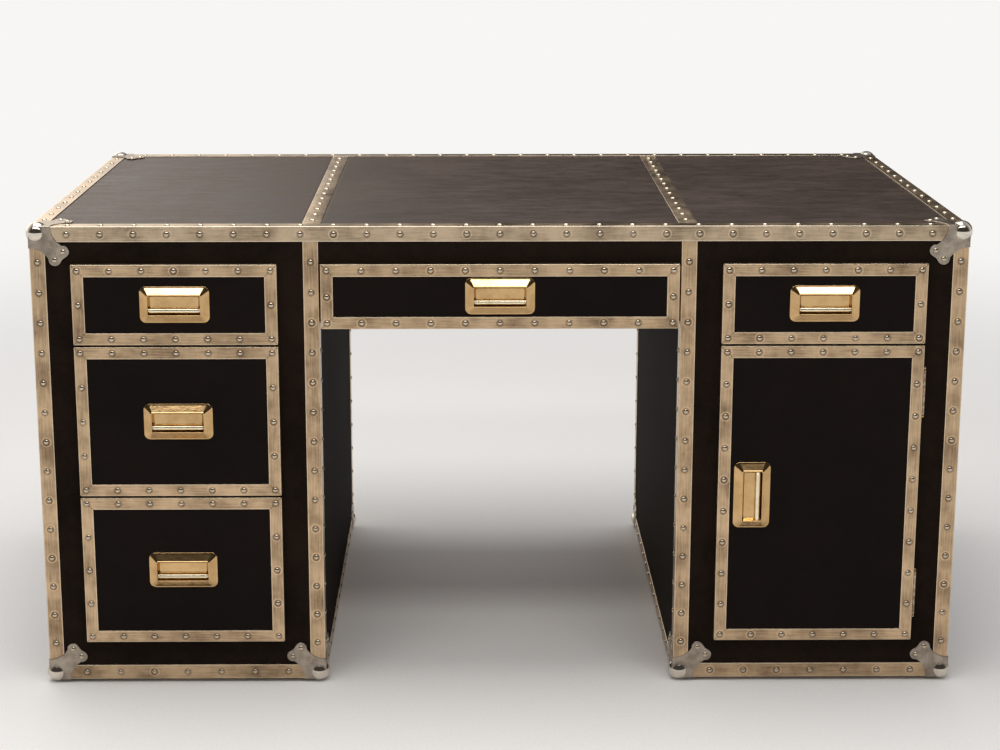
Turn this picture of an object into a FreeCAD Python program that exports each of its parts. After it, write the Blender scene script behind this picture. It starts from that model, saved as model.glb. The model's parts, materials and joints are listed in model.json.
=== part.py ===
"""Campaign desk: two leather-covered pedestals under one top, edged in riveted aluminium angle.

Millimetres, +Z up, +X to the right of someone sitting at the desk, the front faces -Y.
The origin is on the floor, under the middle of the desk's bounding box.
Each entry of NODES becomes parts/NAME.step, a group of separate solids.
"""
import FreeCAD, Part
import os

V = FreeCAD.Vector
EX, EY, EZ = V(1, 0, 0), V(0, 1, 0), V(0, 0, 1)

# ---- driving dimensions -------------------------------------------------------------------
width = 1500.0              # over the aluminium edging
depth = 750.0
height = 770.0              # underside of the base edging to the top of the desktop edging
pedestal_width = 460.0

angle_leg = 25.0            # edging of the carcass: equal angle
angle_thick = 1.5
leather_thick = 1.5
leather_swell = 0.3         # bare leather of the desktop above the leather pressed by the metal
swell_gap = 0.5             # where the swell starts beside the metal
side_board = 18.0
back_board = 12.0
base_board = 18.0
frame_board = 20.0          # face frame, centre rail and back apron

strap_width = 30.0
strap_thick = 1.2

# corner fittings: a ball and three riveted plates
ball_radius = 17.3
ball_inset = 11.0           # ball centre to each face of the desk
plate_thick = 1.2
plate_run = 35.0            # how far a plate follows the desk's edges
lobe_near = 40.5            # centre of a lobe: its two distances from the corner
lobe_far = 54.0
lobe_radius = 9.8
edge_hollow = 4.9           # how far a plate's slanting edge is hollowed
notch_reach = 8.1           # notch between the lobes, out from the middle of the two rivets
ball_pocket = 28.5          # cube left free of boards and edging for the ball

rivet_radius = 4.25
rivet_height = 2.2
rivet_count_long = 27            # along the front and the back of the desktop
rivet_end_long = 60.0
rivet_count_deep = 13            # from front to back
rivet_end_deep = 60.0
rivet_count_strap = 14
rivet_end_strap = 56.0
rivet_count_upright = 14
rivet_low_upright = 64.0    # lowest rivet above the underside of the base edging
rivet_top_upright = 58.0    # highest rivet of an upright below the top of the desk
rivet_count_base = 7
rivet_pitch_base = 56.0
rivet_count_apron = 9
rivet_count_front = 7            # across a front of a pedestal, corners counted
rivet_count_centre = 11
rivet_count_up_top = 1           # up a side of a front, between the corners
rivet_count_up_drawer = 3
rivet_count_up_door = 8
rivet_end_apron = 50.0

# fronts of the drawers and the door, which lap over the face frame
front_width = 328.0
fronts_low = 70.0           # above the underside of the base edging
top_rail = 35.0             # leather showing between the desktop edging and the fronts
front_gap = 3.0
top_front_height = 132.0
centre_front_height = 106.0
front_lap = 20.0            # over each side of an opening
rail_lap = 8.0              # over the top and the bottom of an opening
edging_face = 20.0
edging_thick = 1.5
front_board = 10.0          # leather-covered board inside the edging
seat_gap = 0.3              # between a closed front and the face behind it

# drawer boxes
box_front = 14.0
box_side = 12.0
box_back = 12.0
box_floor = 6.0
floor_lift = 8.0            # drawer floor above the lower edge of the sides
box_length = 640.0
box_side_gap = 1.5
box_top_gap = 3.0
run_gap = 0.3               # drawer sides above their runners
centre_side_gap = 12.0      # centre drawer box to the kneehole's edging
centre_box_lift = 18.0      # above the lower edge of the centre front
runner_thick = 16.0
runner_bearing = 14.0       # runner under a drawer side
guide_height = 12.0
guide_width = 12.0
guide_gap = 1.0
ledge_thick = 13.0          # strips that carry the centre drawer

# recessed pulls
pull_length = 112.0
pull_height = 60.0
pull_proud = 10.0
pull_corner = 10.0
rim_length = 85.6           # outside of the raised rim
rim_height = 33.6
rim_corner = 3.0
rim_wall = 1.5
recess_floor_length = 76.0
recess_floor_height = 26.0
recess_floor_thick = 1.4
recess_corner = 2.2
bar_radius = 3.8
bar_drop = 8.6              # bar below the middle of the pull
bar_stand = 5.8             # bar's middle in front of the leather
pull_rise = 1.0             # pull above the middle of its front
door_pull_inset = 56.0      # middle of the door's pull to the door's free edge

# door
core_thick = 8.0            # part of the door that stands in the opening
core_gap = 2.0
hinge_length = 76.0
knuckle_count = 5
knuckle_radius = 2.75
knuckle_gap = 0.3
pin_radius = 1.4
pin_clearance = 0.05
pin_tip_radius = 2.6
leaf_thick = 1.4
leaf_width = 18.0
hinge_inset = 42.0          # hinge end to the door's end
hinge_side_gap = 0.55       # between the door's edge and the knuckles
hinge_stand = 0.25          # knuckles in front of the leather face
leaf_gap = 0.2

# cupboard
shelf_thick = 16.0
shelf_height = 300.0
shelf_setback = 40.0        # behind the face frame
shelf_gap = 1.0
support_plate = 12.0
support_thick = 3.0
support_stud_radius = 2.5
support_stud = 9.0
support_inset = 60.0
catch_length = 50.0
catch_deep = 16.0
catch_high = 14.0
catch_inset = 24.0
strike_thick = 1.5
strike_length = 38.0
strike_high = 12.0

# ---- planes worked out from them ------------------------------------------------------------
ball_proud = ball_radius - ball_inset
skin = angle_thick + leather_thick
front_thick = front_board + edging_thick
leather_face = angle_thick                          # behind the front plane of the edging
front_back = leather_face - seat_gap                # back of a closed front, same datum
board_face = front_back - front_board               # leather face of a front
front_face = front_back - front_thick               # aluminium face of a front
pull_face = board_face - pull_proud

y0 = -(depth + ball_proud + pull_face) / 2          # front plane of the carcass edging
y1 = y0 + depth
z0 = ball_proud                                     # underside of the base edging
z1 = z0 + height
half = width / 2
knee = half - pedestal_width
board_low = z0 + angle_thick
top_board = angle_leg - skin
top_low = z1 - angle_leg                            # underside of the desktop
frame_back = y0 + skin + frame_board
back_front = y1 - skin - back_board
pedestal_middle = half - pedestal_width / 2
wall_inside = pedestal_width / 2 - skin - side_board
fronts_high = height - angle_leg - top_rail
rest_front_height = (fronts_high - fronts_low - top_front_height - 2 * front_gap) / 2


# ---- small helpers ----------------------------------------------------------------------------
def box(xa, xb, ya, yb, za, zb):
    """Block between two corners."""
    return Part.makeBox(xb - xa, yb - ya, zb - za, V(xa, ya, za))


def spread(count, first, last):
    """Evenly spaced places from first to last."""
    step = (last - first) / (count - 1)
    return [first + step * i for i in range(count)]


def prism(points, along):
    """Polygon of points, extruded along a vector."""
    return Part.Face(Part.makePolygon(points + points[:1])).extrude(along)


def angle(corner, leg_a, leg_b, along, thick=angle_thick):
    """Angle bar: its outer corner, two leg vectors from it and the vector of its length."""
    a, b = V(leg_a).normalize() * thick, V(leg_b).normalize() * thick
    outline = [corner, corner + leg_a, corner + leg_a + b, corner + a + b, corner + leg_b + a, corner + leg_b]
    return prism(outline, along)


def dome():
    """Rivet head on the plane Z = 0: a cap of a sphere."""
    radius = (rivet_radius ** 2 + rivet_height ** 2) / (2 * rivet_height)
    cap = Part.makeSphere(radius, V(0, 0, rivet_height - radius))
    return cap.common(box(-radius, radius, -radius, radius, 0, radius))


RIVET = dome()


def rivet(place, normal):
    """Rivet head seated at a place, pointing along the normal of its face."""
    head = RIVET.copy()
    head.Placement = FreeCAD.Placement(place, FreeCAD.Rotation(EZ, normal))
    return head


def mirrored(shapes, across):
    """Copies of shapes on the other side of a plane through the origin."""
    return [shape.mirror(V(0, 0, 0), across) for shape in shapes]


# ---- corners ------------------------------------------------------------------------------------
# each corner is its point and the three signs that point into the desk
TOP_CORNERS = [(V(sx * half, y, z1), (-sx, sy, -1)) for sx in (-1, 1) for y, sy in ((y0, 1), (y1, -1))]
FOOT_CORNERS = [
    (V(sx * x, y, z0), (sx * into, sy, 1))
    for sx in (-1, 1)
    for x, into in ((half, -1), (knee, 1))
    for y, sy in ((y0, 1), (y1, -1))
]


def pocket(corner):
    """Cube that a corner's ball needs."""
    point, signs = corner
    far = point + V(*signs) * ball_pocket
    low = [min(point[i], far[i]) for i in range(3)]
    return Part.makeBox(ball_pocket, ball_pocket, ball_pocket, V(*low))


POCKETS = [pocket(corner) for corner in TOP_CORNERS + FOOT_CORNERS]


def clear_balls(shape):
    """The shape without the cubes of the corner balls."""
    for cube in POCKETS:
        if shape.BoundBox.intersect(cube.BoundBox):
            if shape.common(cube).Volume > 0:
                shape = shape.cut(cube)
    return shape.Solids[0]


def plate_outline():
    """Corner plate in its own plane: cut out for the ball, then two runs and two lobes with a notch between."""
    def lobe(u, v, degrees):
        turn = FreeCAD.Rotation(EZ, degrees)
        return V(u, v, 0) + turn.multVec(EX) * lobe_radius

    def hollow(a, b):
        mid = (a + b) / 2
        inward = EZ.cross(b - a).normalize() * edge_hollow
        return Part.Arc(a, mid + inward, b).toShape()

    start, end = V(plate_run, -plate_thick, 0), V(-plate_thick, plate_run, 0)
    right = [lobe(lobe_far, lobe_near, d) for d in (-100, -20, 60)]
    left = [lobe(lobe_near, lobe_far, d) for d in (30, 110, 190)]
    between = (lobe_near + lobe_far) / 2
    notch = V(between, between, 0) + V(1, 1, 0).normalize() * notch_reach
    bite = [V(-plate_thick, ball_inset, 0), V(ball_inset, ball_inset, 0), V(ball_inset, -plate_thick, 0)]
    edges = [
        Part.makeLine(bite[2], start),
        hollow(start, right[0]),
        Part.Arc(*right).toShape(),
        Part.makeLine(right[2], notch),
        Part.makeLine(notch, left[0]),
        Part.Arc(*left).toShape(),
        hollow(left[2], end),
        Part.makeLine(end, bite[0]),
        Part.makeLine(bite[0], bite[1]),
        Part.makeLine(bite[1], bite[2]),
    ]
    return Part.Face(Part.Wire(edges)).extrude(V(0, 0, -plate_thick))


def corner_fitting():
    """Fitting of a corner at the origin of a desk that fills the positive octant."""
    plate = plate_outline()
    spin = FreeCAD.Rotation(V(1, 1, 1), 120)
    shape = Part.makeSphere(ball_radius, V(ball_inset, ball_inset, ball_inset))
    for _ in range(3):
        plate = plate.copy()
        shape = shape.fuse(plate)
        plate.Placement = FreeCAD.Placement(V(0, 0, 0), spin).multiply(plate.Placement)
    return shape.Solids[0]


FITTING = corner_fitting()


def place_fitting(corner):
    """Fitting turned into one corner of the desk."""
    point, signs = corner
    shape = FITTING.copy()
    for axis, sign in zip((EX, EY, EZ), signs):
        if sign < 0:
            shape = shape.mirror(V(0, 0, 0), axis)
    shape.translate(point)
    return shape


def fitting_rivets(corner):
    """Two rivets in the lobes of each plate."""
    point, signs = corner
    found = []
    for axis in range(3):
        u, v = (axis + 1) % 3, (axis + 2) % 3
        for near, far in ((lobe_near, lobe_far), (lobe_far, lobe_near)):
            place = [point.x, point.y, point.z]
            place[axis] -= signs[axis] * plate_thick
            place[u] += signs[u] * near
            place[v] += signs[v] * far
            normal = [0, 0, 0]
            normal[axis] = -signs[axis]
            found.append(rivet(V(*place), V(*normal)))
    return found


# ---- desktop --------------------------------------------------------------------------------------
strap_x = knee + angle_leg / 2                       # straps stand over the inner uprights
strap_low = z1 - angle_thick
in_leg = angle_leg / 2


def desktop_board():
    """Board under the leather, inside the edging."""
    return clear_balls(box(-half + skin, half - skin, y0 + skin, y1 - skin, top_low, top_low + top_board))


def desktop_leather():
    """Three sheets, parted under the middle of the straps, each with its bare field swollen."""
    edges = [-half + angle_thick, -strap_x, strap_x, half - angle_thick]
    under_angle = angle_leg - angle_thick
    covered = [under_angle, strap_width / 2, strap_width / 2, under_angle]
    front, back, start = y0 + angle_thick, y1 - angle_thick, under_angle + swell_gap
    sheets = []
    for i in range(3):
        a, b = edges[i], edges[i + 1]
        sheet = box(a, b, front, back, strap_low - leather_thick, strap_low)
        xa, xb = a + covered[i] + swell_gap, b - covered[i + 1] - swell_gap
        field = box(xa, xb, front + start, back - start, strap_low, strap_low + leather_swell)
        sheets.append(clear_balls(sheet.fuse(field)))
    return sheets


def top_edge_angles():
    """Front and back lengths run through, the side lengths stand between them."""
    bars = []
    for y, sy in ((y0, 1), (y1, -1)):
        bars.append(angle(V(-half, y, z1), V(0, sy * angle_leg, 0), V(0, 0, -angle_leg), V(width, 0, 0)))
    for sx in (-1, 1):
        start = V(sx * half, y0 + angle_leg, z1)
        length = V(0, depth - 2 * angle_leg, 0)
        bars.append(angle(start, V(-sx * angle_leg, 0, 0), V(0, 0, -angle_leg), length))
    return [clear_balls(bar) for bar in bars]


def straps():
    """Two flat strips on the leather, between the front and the back edging."""
    ya, yb, over = y0 + angle_leg, y1 - angle_leg, strap_width / 2
    return [box(x - over, x + over, ya, yb, strap_low, strap_low + strap_thick) for x in (-strap_x, strap_x)]


def desktop_rivets():
    """Heads on both legs of the edging and along the straps."""
    found = []
    for x in spread(rivet_count_long, -half + rivet_end_long, half - rivet_end_long):
        for y, sy in ((y0, 1), (y1, -1)):
            found.append(rivet(V(x, y, z1 - in_leg), V(0, -sy, 0)))
            found.append(rivet(V(x, y + sy * in_leg, z1), EZ))
    for y in spread(rivet_count_deep, y0 + rivet_end_deep, y1 - rivet_end_deep):
        for sx in (-1, 1):
            found.append(rivet(V(sx * half, y, z1 - in_leg), V(sx, 0, 0)))
            found.append(rivet(V(sx * (half - in_leg), y, z1), EZ))
    for y in spread(rivet_count_strap, y0 + rivet_end_strap, y1 - rivet_end_strap):
        for x in (-strap_x, strap_x):
            found.append(rivet(V(x, y, strap_low + strap_thick), EZ))
    return found + [r for corner in TOP_CORNERS for r in fitting_rivets(corner)]


# ---- pedestals: made on the right, mirrored to the left ------------------------------------------
class Opening:
    """Opening of the face frame behind one front, with heights above the floor."""

    def __init__(self, front_low, front_high):
        self.front_low, self.front_high = z0 + front_low, z0 + front_high
        self.low, self.high = self.front_low + rail_lap, self.front_high - rail_lap
        self.half = front_width / 2 - front_lap


top_low_edge = fronts_high - top_front_height
middle_high = top_low_edge - front_gap
middle_low = middle_high - rest_front_height
TOP_OPENING = Opening(top_low_edge, fronts_high)
MIDDLE_OPENING = Opening(middle_low, middle_high)
BOTTOM_OPENING = Opening(fronts_low, middle_low - front_gap)
DOOR_OPENING = Opening(fronts_low, middle_high)
DRAWER_STACK = [TOP_OPENING, MIDDLE_OPENING, BOTTOM_OPENING]
CUPBOARD_STACK = [TOP_OPENING, DOOR_OPENING]

outer_face, inner_face = half - skin, knee + skin    # board faces of the right pedestal
centre_front_low = z0 + fronts_high - centre_front_height
rail_low = z0 + fronts_high - rail_lap               # centre rail over the kneehole
apron_low = centre_front_low                         # apron at its back


def outer_side():
    """Board on the desk's end."""
    return clear_balls(box(outer_face - side_board, outer_face, frame_back, back_front, board_low, top_low))


def inner_side():
    """Board on the kneehole."""
    return clear_balls(box(inner_face, inner_face + side_board, frame_back, back_front, board_low, top_low))


def back():
    """Board across the back."""
    return clear_balls(box(inner_face, outer_face, back_front, y1 - skin, board_low, top_low))


def base():
    """Bottom board between the sides."""
    wall = pedestal_middle - wall_inside, pedestal_middle + wall_inside
    return clear_balls(box(*wall, frame_back, back_front, board_low, board_low + base_board))


def face_frame(stack):
    """Two stiles and the rails between them."""
    near, far = y0 + skin, frame_back
    left = pedestal_middle - stack[0].half
    right = pedestal_middle + stack[0].half
    pieces = [
        clear_balls(box(inner_face, left, near, far, board_low, top_low)),
        clear_balls(box(right, outer_face, near, far, board_low, top_low)),
    ]
    heights = [top_low] + [z for hole in stack for z in (hole.high, hole.low)] + [board_low]
    for high, low in zip(heights[::2], heights[1::2]):
        pieces.append(box(left, right, near, far, low, high))
    return pieces


def pedestal_leather(stack):
    """Sheets on the end, the kneehole side, the back and the face frame."""
    sheets = [
        box(outer_face, outer_face + leather_thick, y0 + skin, y1 - skin, board_low, top_low),
        box(inner_face - leather_thick, inner_face, y0 + skin, y1 - skin, board_low, top_low),
        box(inner_face, outer_face, y1 - skin, y1 - angle_thick, board_low, top_low),
    ]
    face = box(inner_face, outer_face, y0 + angle_thick, y0 + skin, board_low, top_low)
    for hole in stack:
        face = face.cut(
            box(pedestal_middle - hole.half, pedestal_middle + hole.half, y0, y0 + skin, hole.low, hole.high)
        )
    return [clear_balls(sheet) for sheet in sheets + [face]]


def pedestal_corners():
    """Corner points and inward directions of the right pedestal's four uprights."""
    return [(V(x, y, 0), sx, sy) for x, sx in ((half, -1), (knee, 1)) for y, sy in ((y0, 1), (y1, -1))]


def corner_angles():
    """Four upright lengths of edging under the desktop."""
    bars = []
    for point, sx, sy in pedestal_corners():
        start = point + V(0, 0, z0)
        bars.append(angle(start, V(sx * angle_leg, 0, 0), V(0, sy * angle_leg, 0), V(0, 0, top_low - z0)))
    return [clear_balls(bar) for bar in bars]


def base_angles():
    """Four lengths of edging between the feet, on the front, the back and both sides."""
    bars = []
    for y, sy in ((y0, 1), (y1, -1)):
        start = V(knee + angle_leg, y, z0)
        along = V(pedestal_width - 2 * angle_leg, 0, 0)
        bars.append(angle(start, V(0, sy * angle_leg, 0), V(0, 0, angle_leg), along))
    for x, sx in ((half, -1), (knee, 1)):
        start = V(x, y0 + angle_leg, z0)
        along = V(0, depth - 2 * angle_leg, 0)
        bars.append(angle(start, V(sx * angle_leg, 0, 0), V(0, 0, angle_leg), along))
    return [clear_balls(bar) for bar in bars]


def pedestal_rivets():
    """Heads on the uprights below the centre rail and the apron, on the base edging and on the feet."""
    found = []
    for z in spread(rivet_count_upright, z0 + rivet_low_upright, z1 - rivet_top_upright):
        for point, sx, sy in pedestal_corners():
            found.append(rivet(point + V(sx * in_leg, 0, z), V(0, -sy, 0)))
            between = rail_low if sy > 0 else apron_low
            if sx < 0 or z + rivet_radius < between:
                found.append(rivet(point + V(0, sy * in_leg, z), V(-sx, 0, 0)))
    reach = rivet_pitch_base * (rivet_count_base - 1) / 2
    for x in spread(rivet_count_base, pedestal_middle - reach, pedestal_middle + reach):
        for y, sy in ((y0, 1), (y1, -1)):
            found.append(rivet(V(x, y, z0 + in_leg), V(0, -sy, 0)))
    for y in spread(rivet_count_deep, y0 + rivet_end_deep, y1 - rivet_end_deep):
        for x, sx in ((half, -1), (knee, 1)):
            found.append(rivet(V(x, y, z0 + in_leg), V(-sx, 0, 0)))
    feet = [corner for corner in FOOT_CORNERS if corner[0].x > 0]
    return found + [r for corner in feet for r in fitting_rivets(corner)]


# ---- between the pedestals --------------------------------------------------------------------------
def centre_rail():
    """Rail over the centre drawer and its leather."""
    rail = box(-knee, knee, y0 + skin, frame_back, rail_low, top_low)
    cover = box(-knee, knee, y0 + angle_thick, y0 + skin, rail_low, top_low)
    return [rail, cover]


def back_apron():
    """Board that closes the centre drawer's space at the back and its leather."""
    board = box(-knee, knee, y1 - skin - frame_board, y1 - skin, apron_low + angle_thick, top_low)
    cover = box(-knee, knee, y1 - skin, y1 - angle_thick, apron_low + angle_thick, top_low)
    return [board, cover]


def apron_edging():
    """Edging along the apron's lower edge with its rivets."""
    bar = angle(V(-knee, y1, apron_low), V(0, -angle_leg, 0), V(0, 0, angle_leg), V(2 * knee, 0, 0))
    places = spread(rivet_count_apron, -knee + rivet_end_apron, knee - rivet_end_apron)
    return [bar] + [rivet(V(x, y1, apron_low + in_leg), EY) for x in places]


# ---- recessed pull ----------------------------------------------------------------------------------
def round_rectangle(length, high, radius, w):
    """Closed wire with rounded corners, in the plane Z = w."""
    x, y = length / 2 - radius, high / 2 - radius
    middles = [(x, y, 45), (-x, y, 135), (-x, -y, 225), (x, -y, 315)]
    edges = []
    last = None
    for cx, cy, degrees in middles:
        points = [
            V(cx, cy, w) + FreeCAD.Rotation(EZ, degrees + turn).multVec(EX) * radius for turn in (-45, 0, 45)
        ]
        if last is not None:
            edges.append(Part.makeLine(last, points[0]))
        edges.append(Part.Arc(*points).toShape())
        last = points[2]
    edges.append(Part.makeLine(last, edges[0].Vertexes[0].Point))
    return Part.Wire(edges)


def make_pull():
    """Casing and grip bar on the plane Z = 0, facing +Z, with the bar towards -Y."""
    casing = Part.makeLoft(
        [
            round_rectangle(pull_length, pull_height, pull_corner, 0),
            round_rectangle(rim_length, rim_height, rim_corner, pull_proud),
        ],
        True,
        True,
    )
    recess = Part.makeLoft(
        [
            round_rectangle(recess_floor_length, recess_floor_height, recess_corner, recess_floor_thick),
            round_rectangle(rim_length - 2 * rim_wall, rim_height - 2 * rim_wall, recess_corner, pull_proud),
        ],
        True,
        True,
    )
    casing = casing.cut(recess)
    reach = (rim_length - rim_wall) / 2
    bar = Part.makeCylinder(bar_radius, 2 * reach, V(-reach, -bar_drop, bar_stand), EX)
    return [casing.cut(bar).Solids[0], bar]


PULL = make_pull()


def place_pull(x, z, upright=False):
    """Pull on a front, at the middle x, z; upright turns the bar to the right."""
    stand = FreeCAD.Rotation(EX, 90)
    if upright:
        stand = FreeCAD.Rotation(EY, -90).multiply(stand)
    found = []
    for shape in PULL:
        piece = shape.copy()
        piece.Placement = FreeCAD.Placement(V(x, y0 + board_face, z), stand)
        found.append(piece)
    return found


# ---- fronts, edging and drawer boxes -----------------------------------------------------------------
def edging(xa, xb, za, zb, rivet_count_up, rivet_count_across):
    """Mitred frame of angle round a front, with its rivets."""
    outer = box(xa, xb, y0 + front_face, y0 + front_back, za, zb)
    t = edging_thick
    inside = box(xa + t, xb - t, y0 + board_face, y0 + front_back, za + t, zb - t)
    f = edging_face
    window = box(xa + f, xb - f, y0 + front_face, y0 + front_back, za + f, zb - f)
    ring = outer.cut(inside).cut(window)
    corners = [(xa, za), (xb, za), (xb, zb), (xa, zb)]
    inner = [(xa + f, za + f), (xb - f, za + f), (xb - f, zb - f), (xa + f, zb - f)]
    pieces = []
    for i in range(4):
        j = (i + 1) % 4
        flat = [corners[i], corners[j], inner[j], inner[i]]
        wedge = prism([V(x, y0 + front_face, z) for x, z in flat], V(0, front_thick, 0))
        pieces += ring.common(wedge).Solids
    m = f / 2
    across = spread(rivet_count_across, xa + m, xb - m)
    up = spread(rivet_count_up + 2, za + m, zb - m)[1:-1]
    places = [(x, z) for x in across for z in (za + m, zb - m)]
    places += [(x, z) for z in up for x in (xa + m, xb - m)]
    return pieces + [rivet(V(x, y0 + front_face, z), -EY) for x, z in places]


def front_panel(xa, xb, za, zb):
    """Leather-covered board inside its edging."""
    t = edging_thick
    return box(xa + t, xb - t, y0 + board_face, y0 + front_back, za + t, zb - t)


def drawer_box(x, box_width, low, high):
    """Front, sides, back and floor of a drawer box behind its leather-covered front."""
    xa, xb = x - box_width / 2, x + box_width / 2
    ya = y0 + front_back
    yb = ya + box_length
    floor = low + floor_lift
    return [
        box(xa, xb, ya, ya + box_front, low, high),
        box(xa, xa + box_side, ya + box_front, yb, low, high),
        box(xb - box_side, xb, ya + box_front, yb, low, high),
        box(xa + box_side, xb - box_side, yb - box_back, yb, low, high),
        box(xa + box_side, xb - box_side, ya + box_front, yb - box_back, floor, floor + box_floor),
    ]


def drawer(name, x, front, inside, rivet_count_up, rivet_count_across):
    """The four nodes of one drawer; front and inside are (width, low, high)."""
    width_over, low, high = front
    xa, xb = x - width_over / 2, x + width_over / 2
    return {
        name + "_front": [front_panel(xa, xb, low, high)],
        name + "_edging": edging(xa, xb, low, high, rivet_count_up, rivet_count_across),
        name + "_box": drawer_box(x, *inside),
        name + "_pull": place_pull(x, (low + high) / 2 + pull_rise),
    }


def pedestal_drawer(name, x, hole, rivet_count_up):
    """Drawer behind one opening of a face frame."""
    front = front_width, hole.front_low, hole.front_high
    inside = 2 * (hole.half - box_side_gap), hole.low + run_gap, hole.high - box_top_gap
    return drawer(name, x, front, inside, rivet_count_up, rivet_count_front)


centre_box_low = centre_front_low + centre_box_lift
centre_box_half = knee - centre_side_gap


def runners():
    """Strips that carry and guide the drawers."""
    found = []
    bearing = TOP_OPENING.half - box_side_gap
    for hole in DRAWER_STACK:
        for s in (-1, 1):
            wall, edge = s * wall_inside, s * (bearing - runner_bearing)
            xs = sorted((-pedestal_middle + wall, -pedestal_middle + edge))
            found.append(box(*xs, frame_back, back_front, hole.low - runner_thick, hole.low))
    for middle, stack in ((-pedestal_middle, DRAWER_STACK), (pedestal_middle, [TOP_OPENING])):
        for hole in stack:
            for s in (-1, 1):
                near = s * (bearing + guide_gap)
                xs = sorted((middle + near, middle + near + s * guide_width))
                found.append(box(*xs, frame_back, back_front, hole.low, hole.low + guide_height))
    ledge_top = centre_box_low - run_gap
    side = centre_box_half
    wall = knee + angle_thick
    start, end = y0 + angle_leg + seat_gap, y1 - angle_leg - seat_gap
    for s in (-1, 1):
        ledge = sorted((s * wall, s * (side - runner_bearing)))
        lip = sorted((s * wall, s * (side + guide_gap)))
        found.append(box(*ledge, start, end, ledge_top - ledge_thick, ledge_top))
        found.append(box(*lip, start, end, ledge_top, ledge_top + guide_height))
    return found


# ---- cupboard ---------------------------------------------------------------------------------------
def cupboard_ceiling():
    """Board under the right drawer, which runs on it."""
    wall = pedestal_middle - wall_inside, pedestal_middle + wall_inside
    return box(*wall, frame_back, back_front, DOOR_OPENING.high, TOP_OPENING.low)


shelf_low = z0 + shelf_height
shelf_front = frame_back + shelf_setback


def shelf():
    """Loose shelf on four supports."""
    reach = wall_inside - shelf_gap
    back_edge = back_front - shelf_gap
    ends = pedestal_middle - reach, pedestal_middle + reach
    return box(*ends, shelf_front, back_edge, shelf_low, shelf_low + shelf_thick)


def support_places():
    """Wall sign and Y of each shelf support."""
    return [(s, y) for s in (-1, 1) for y in (shelf_front + support_inset, back_front - support_inset)]


def support_stud_at(s, y):
    """Stud of a support, in the wall board."""
    start = V(pedestal_middle + s * wall_inside, y, shelf_low - support_thick / 2 - support_stud_radius)
    return Part.makeCylinder(support_stud_radius, support_stud, start, V(s, 0, 0))


def shelf_supports():
    """Flat plate under the shelf with a stud into the wall."""
    found = []
    for s, y in support_places():
        wall = pedestal_middle + s * wall_inside
        xs = sorted((wall, wall - s * support_plate))
        w = support_plate / 2
        plate = box(*xs, y - w, y + w, shelf_low - support_thick, shelf_low)
        heel_xs = sorted((wall, wall - s * support_thick))
        heel = box(*heel_xs, y - w, y + w, shelf_low - support_plate, shelf_low)
        found.append(plate.fuse(heel).fuse(support_stud_at(s, y)).removeSplitter().Solids[0])
    return found


def bore_walls(board, side):
    """Wall board of the cupboard with the holes of its supports."""
    for s, y in support_places():
        if s == side:
            board = board.cut(support_stud_at(s, y))
    return board


# ---- door and hinges ----------------------------------------------------------------------------------
door_left, door_right = pedestal_middle - front_width / 2, pedestal_middle + front_width / 2
axis_x = door_right + hinge_side_gap + knuckle_radius
axis_y = y0 + leather_face - hinge_stand - knuckle_radius
HINGE_LOWS = [DOOR_OPENING.front_low + hinge_inset, DOOR_OPENING.front_high - hinge_inset - hinge_length]
knuckle_pitch = hinge_length / knuckle_count
frame_leaf_front = y0 + skin - leaf_thick
door_leaf_front = y0 + front_back - leaf_thick


def knuckles(low, which):
    """Every second knuckle of a hinge, counted from which."""
    found = []
    for i in range(which, knuckle_count, 2):
        start = low + i * knuckle_pitch + knuckle_gap / 2
        found.append((start, knuckle_pitch - knuckle_gap))
    return found


def leaf(low, which, leaf_y, reach_y):
    """Hinge leaf behind the door's edge: a plate, its knuckles and the webs between them."""
    right = axis_x - knuckle_radius - knuckle_gap
    shape = box(right - leaf_width, right, leaf_y, leaf_y + leaf_thick, low, low + hinge_length)
    for start, tall in knuckles(low, which):
        barrel = Part.makeCylinder(knuckle_radius, tall, V(axis_x, axis_y, start), EZ)
        web = box(right - leaf_thick, axis_x, leaf_y, leaf_y + leaf_thick, start, start + tall)
        riser = box(axis_x - leaf_thick, axis_x, axis_y + pin_radius, reach_y, start, start + tall)
        shape = shape.fuse([barrel, web, riser])
    bore = Part.makeCylinder(pin_radius + pin_clearance, hinge_length, V(axis_x, axis_y, low), EZ)
    return shape.cut(bore).removeSplitter().Solids[0]


def hinge_frame_leaves():
    """Leaves in the leather of the stile."""
    return [leaf(low, 0, frame_leaf_front, frame_leaf_front + leaf_thick) for low in HINGE_LOWS]


def hinge_door_leaves():
    """Leaves in the back of the door."""
    return [leaf(low, 1, door_leaf_front, door_leaf_front + leaf_thick) for low in HINGE_LOWS]


def hinge_pins():
    """Pin with a ball tip at each end."""
    found = []
    for low in HINGE_LOWS:
        pin = Part.makeCylinder(pin_radius, hinge_length, V(axis_x, axis_y, low), EZ)
        for z in (low - pin_tip_radius, low + hinge_length + pin_tip_radius):
            pin = pin.fuse(Part.makeSphere(pin_tip_radius, V(axis_x, axis_y, z)))
        for z in (low - pin_tip_radius, low + hinge_length):
            pin = pin.fuse(Part.makeCylinder(pin_radius, pin_tip_radius, V(axis_x, axis_y, z), EZ))
        found.append(pin.Solids[0])
    return found


def leaf_seat(low, deep_from, deep_to):
    """Space of a hinge in the face or the door behind it."""
    left = axis_x - knuckle_radius - knuckle_gap - leaf_width - leaf_gap
    right = axis_x + leaf_gap
    return box(left, right, deep_from, deep_to, low - leaf_gap, low + hinge_length + leaf_gap)


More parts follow.
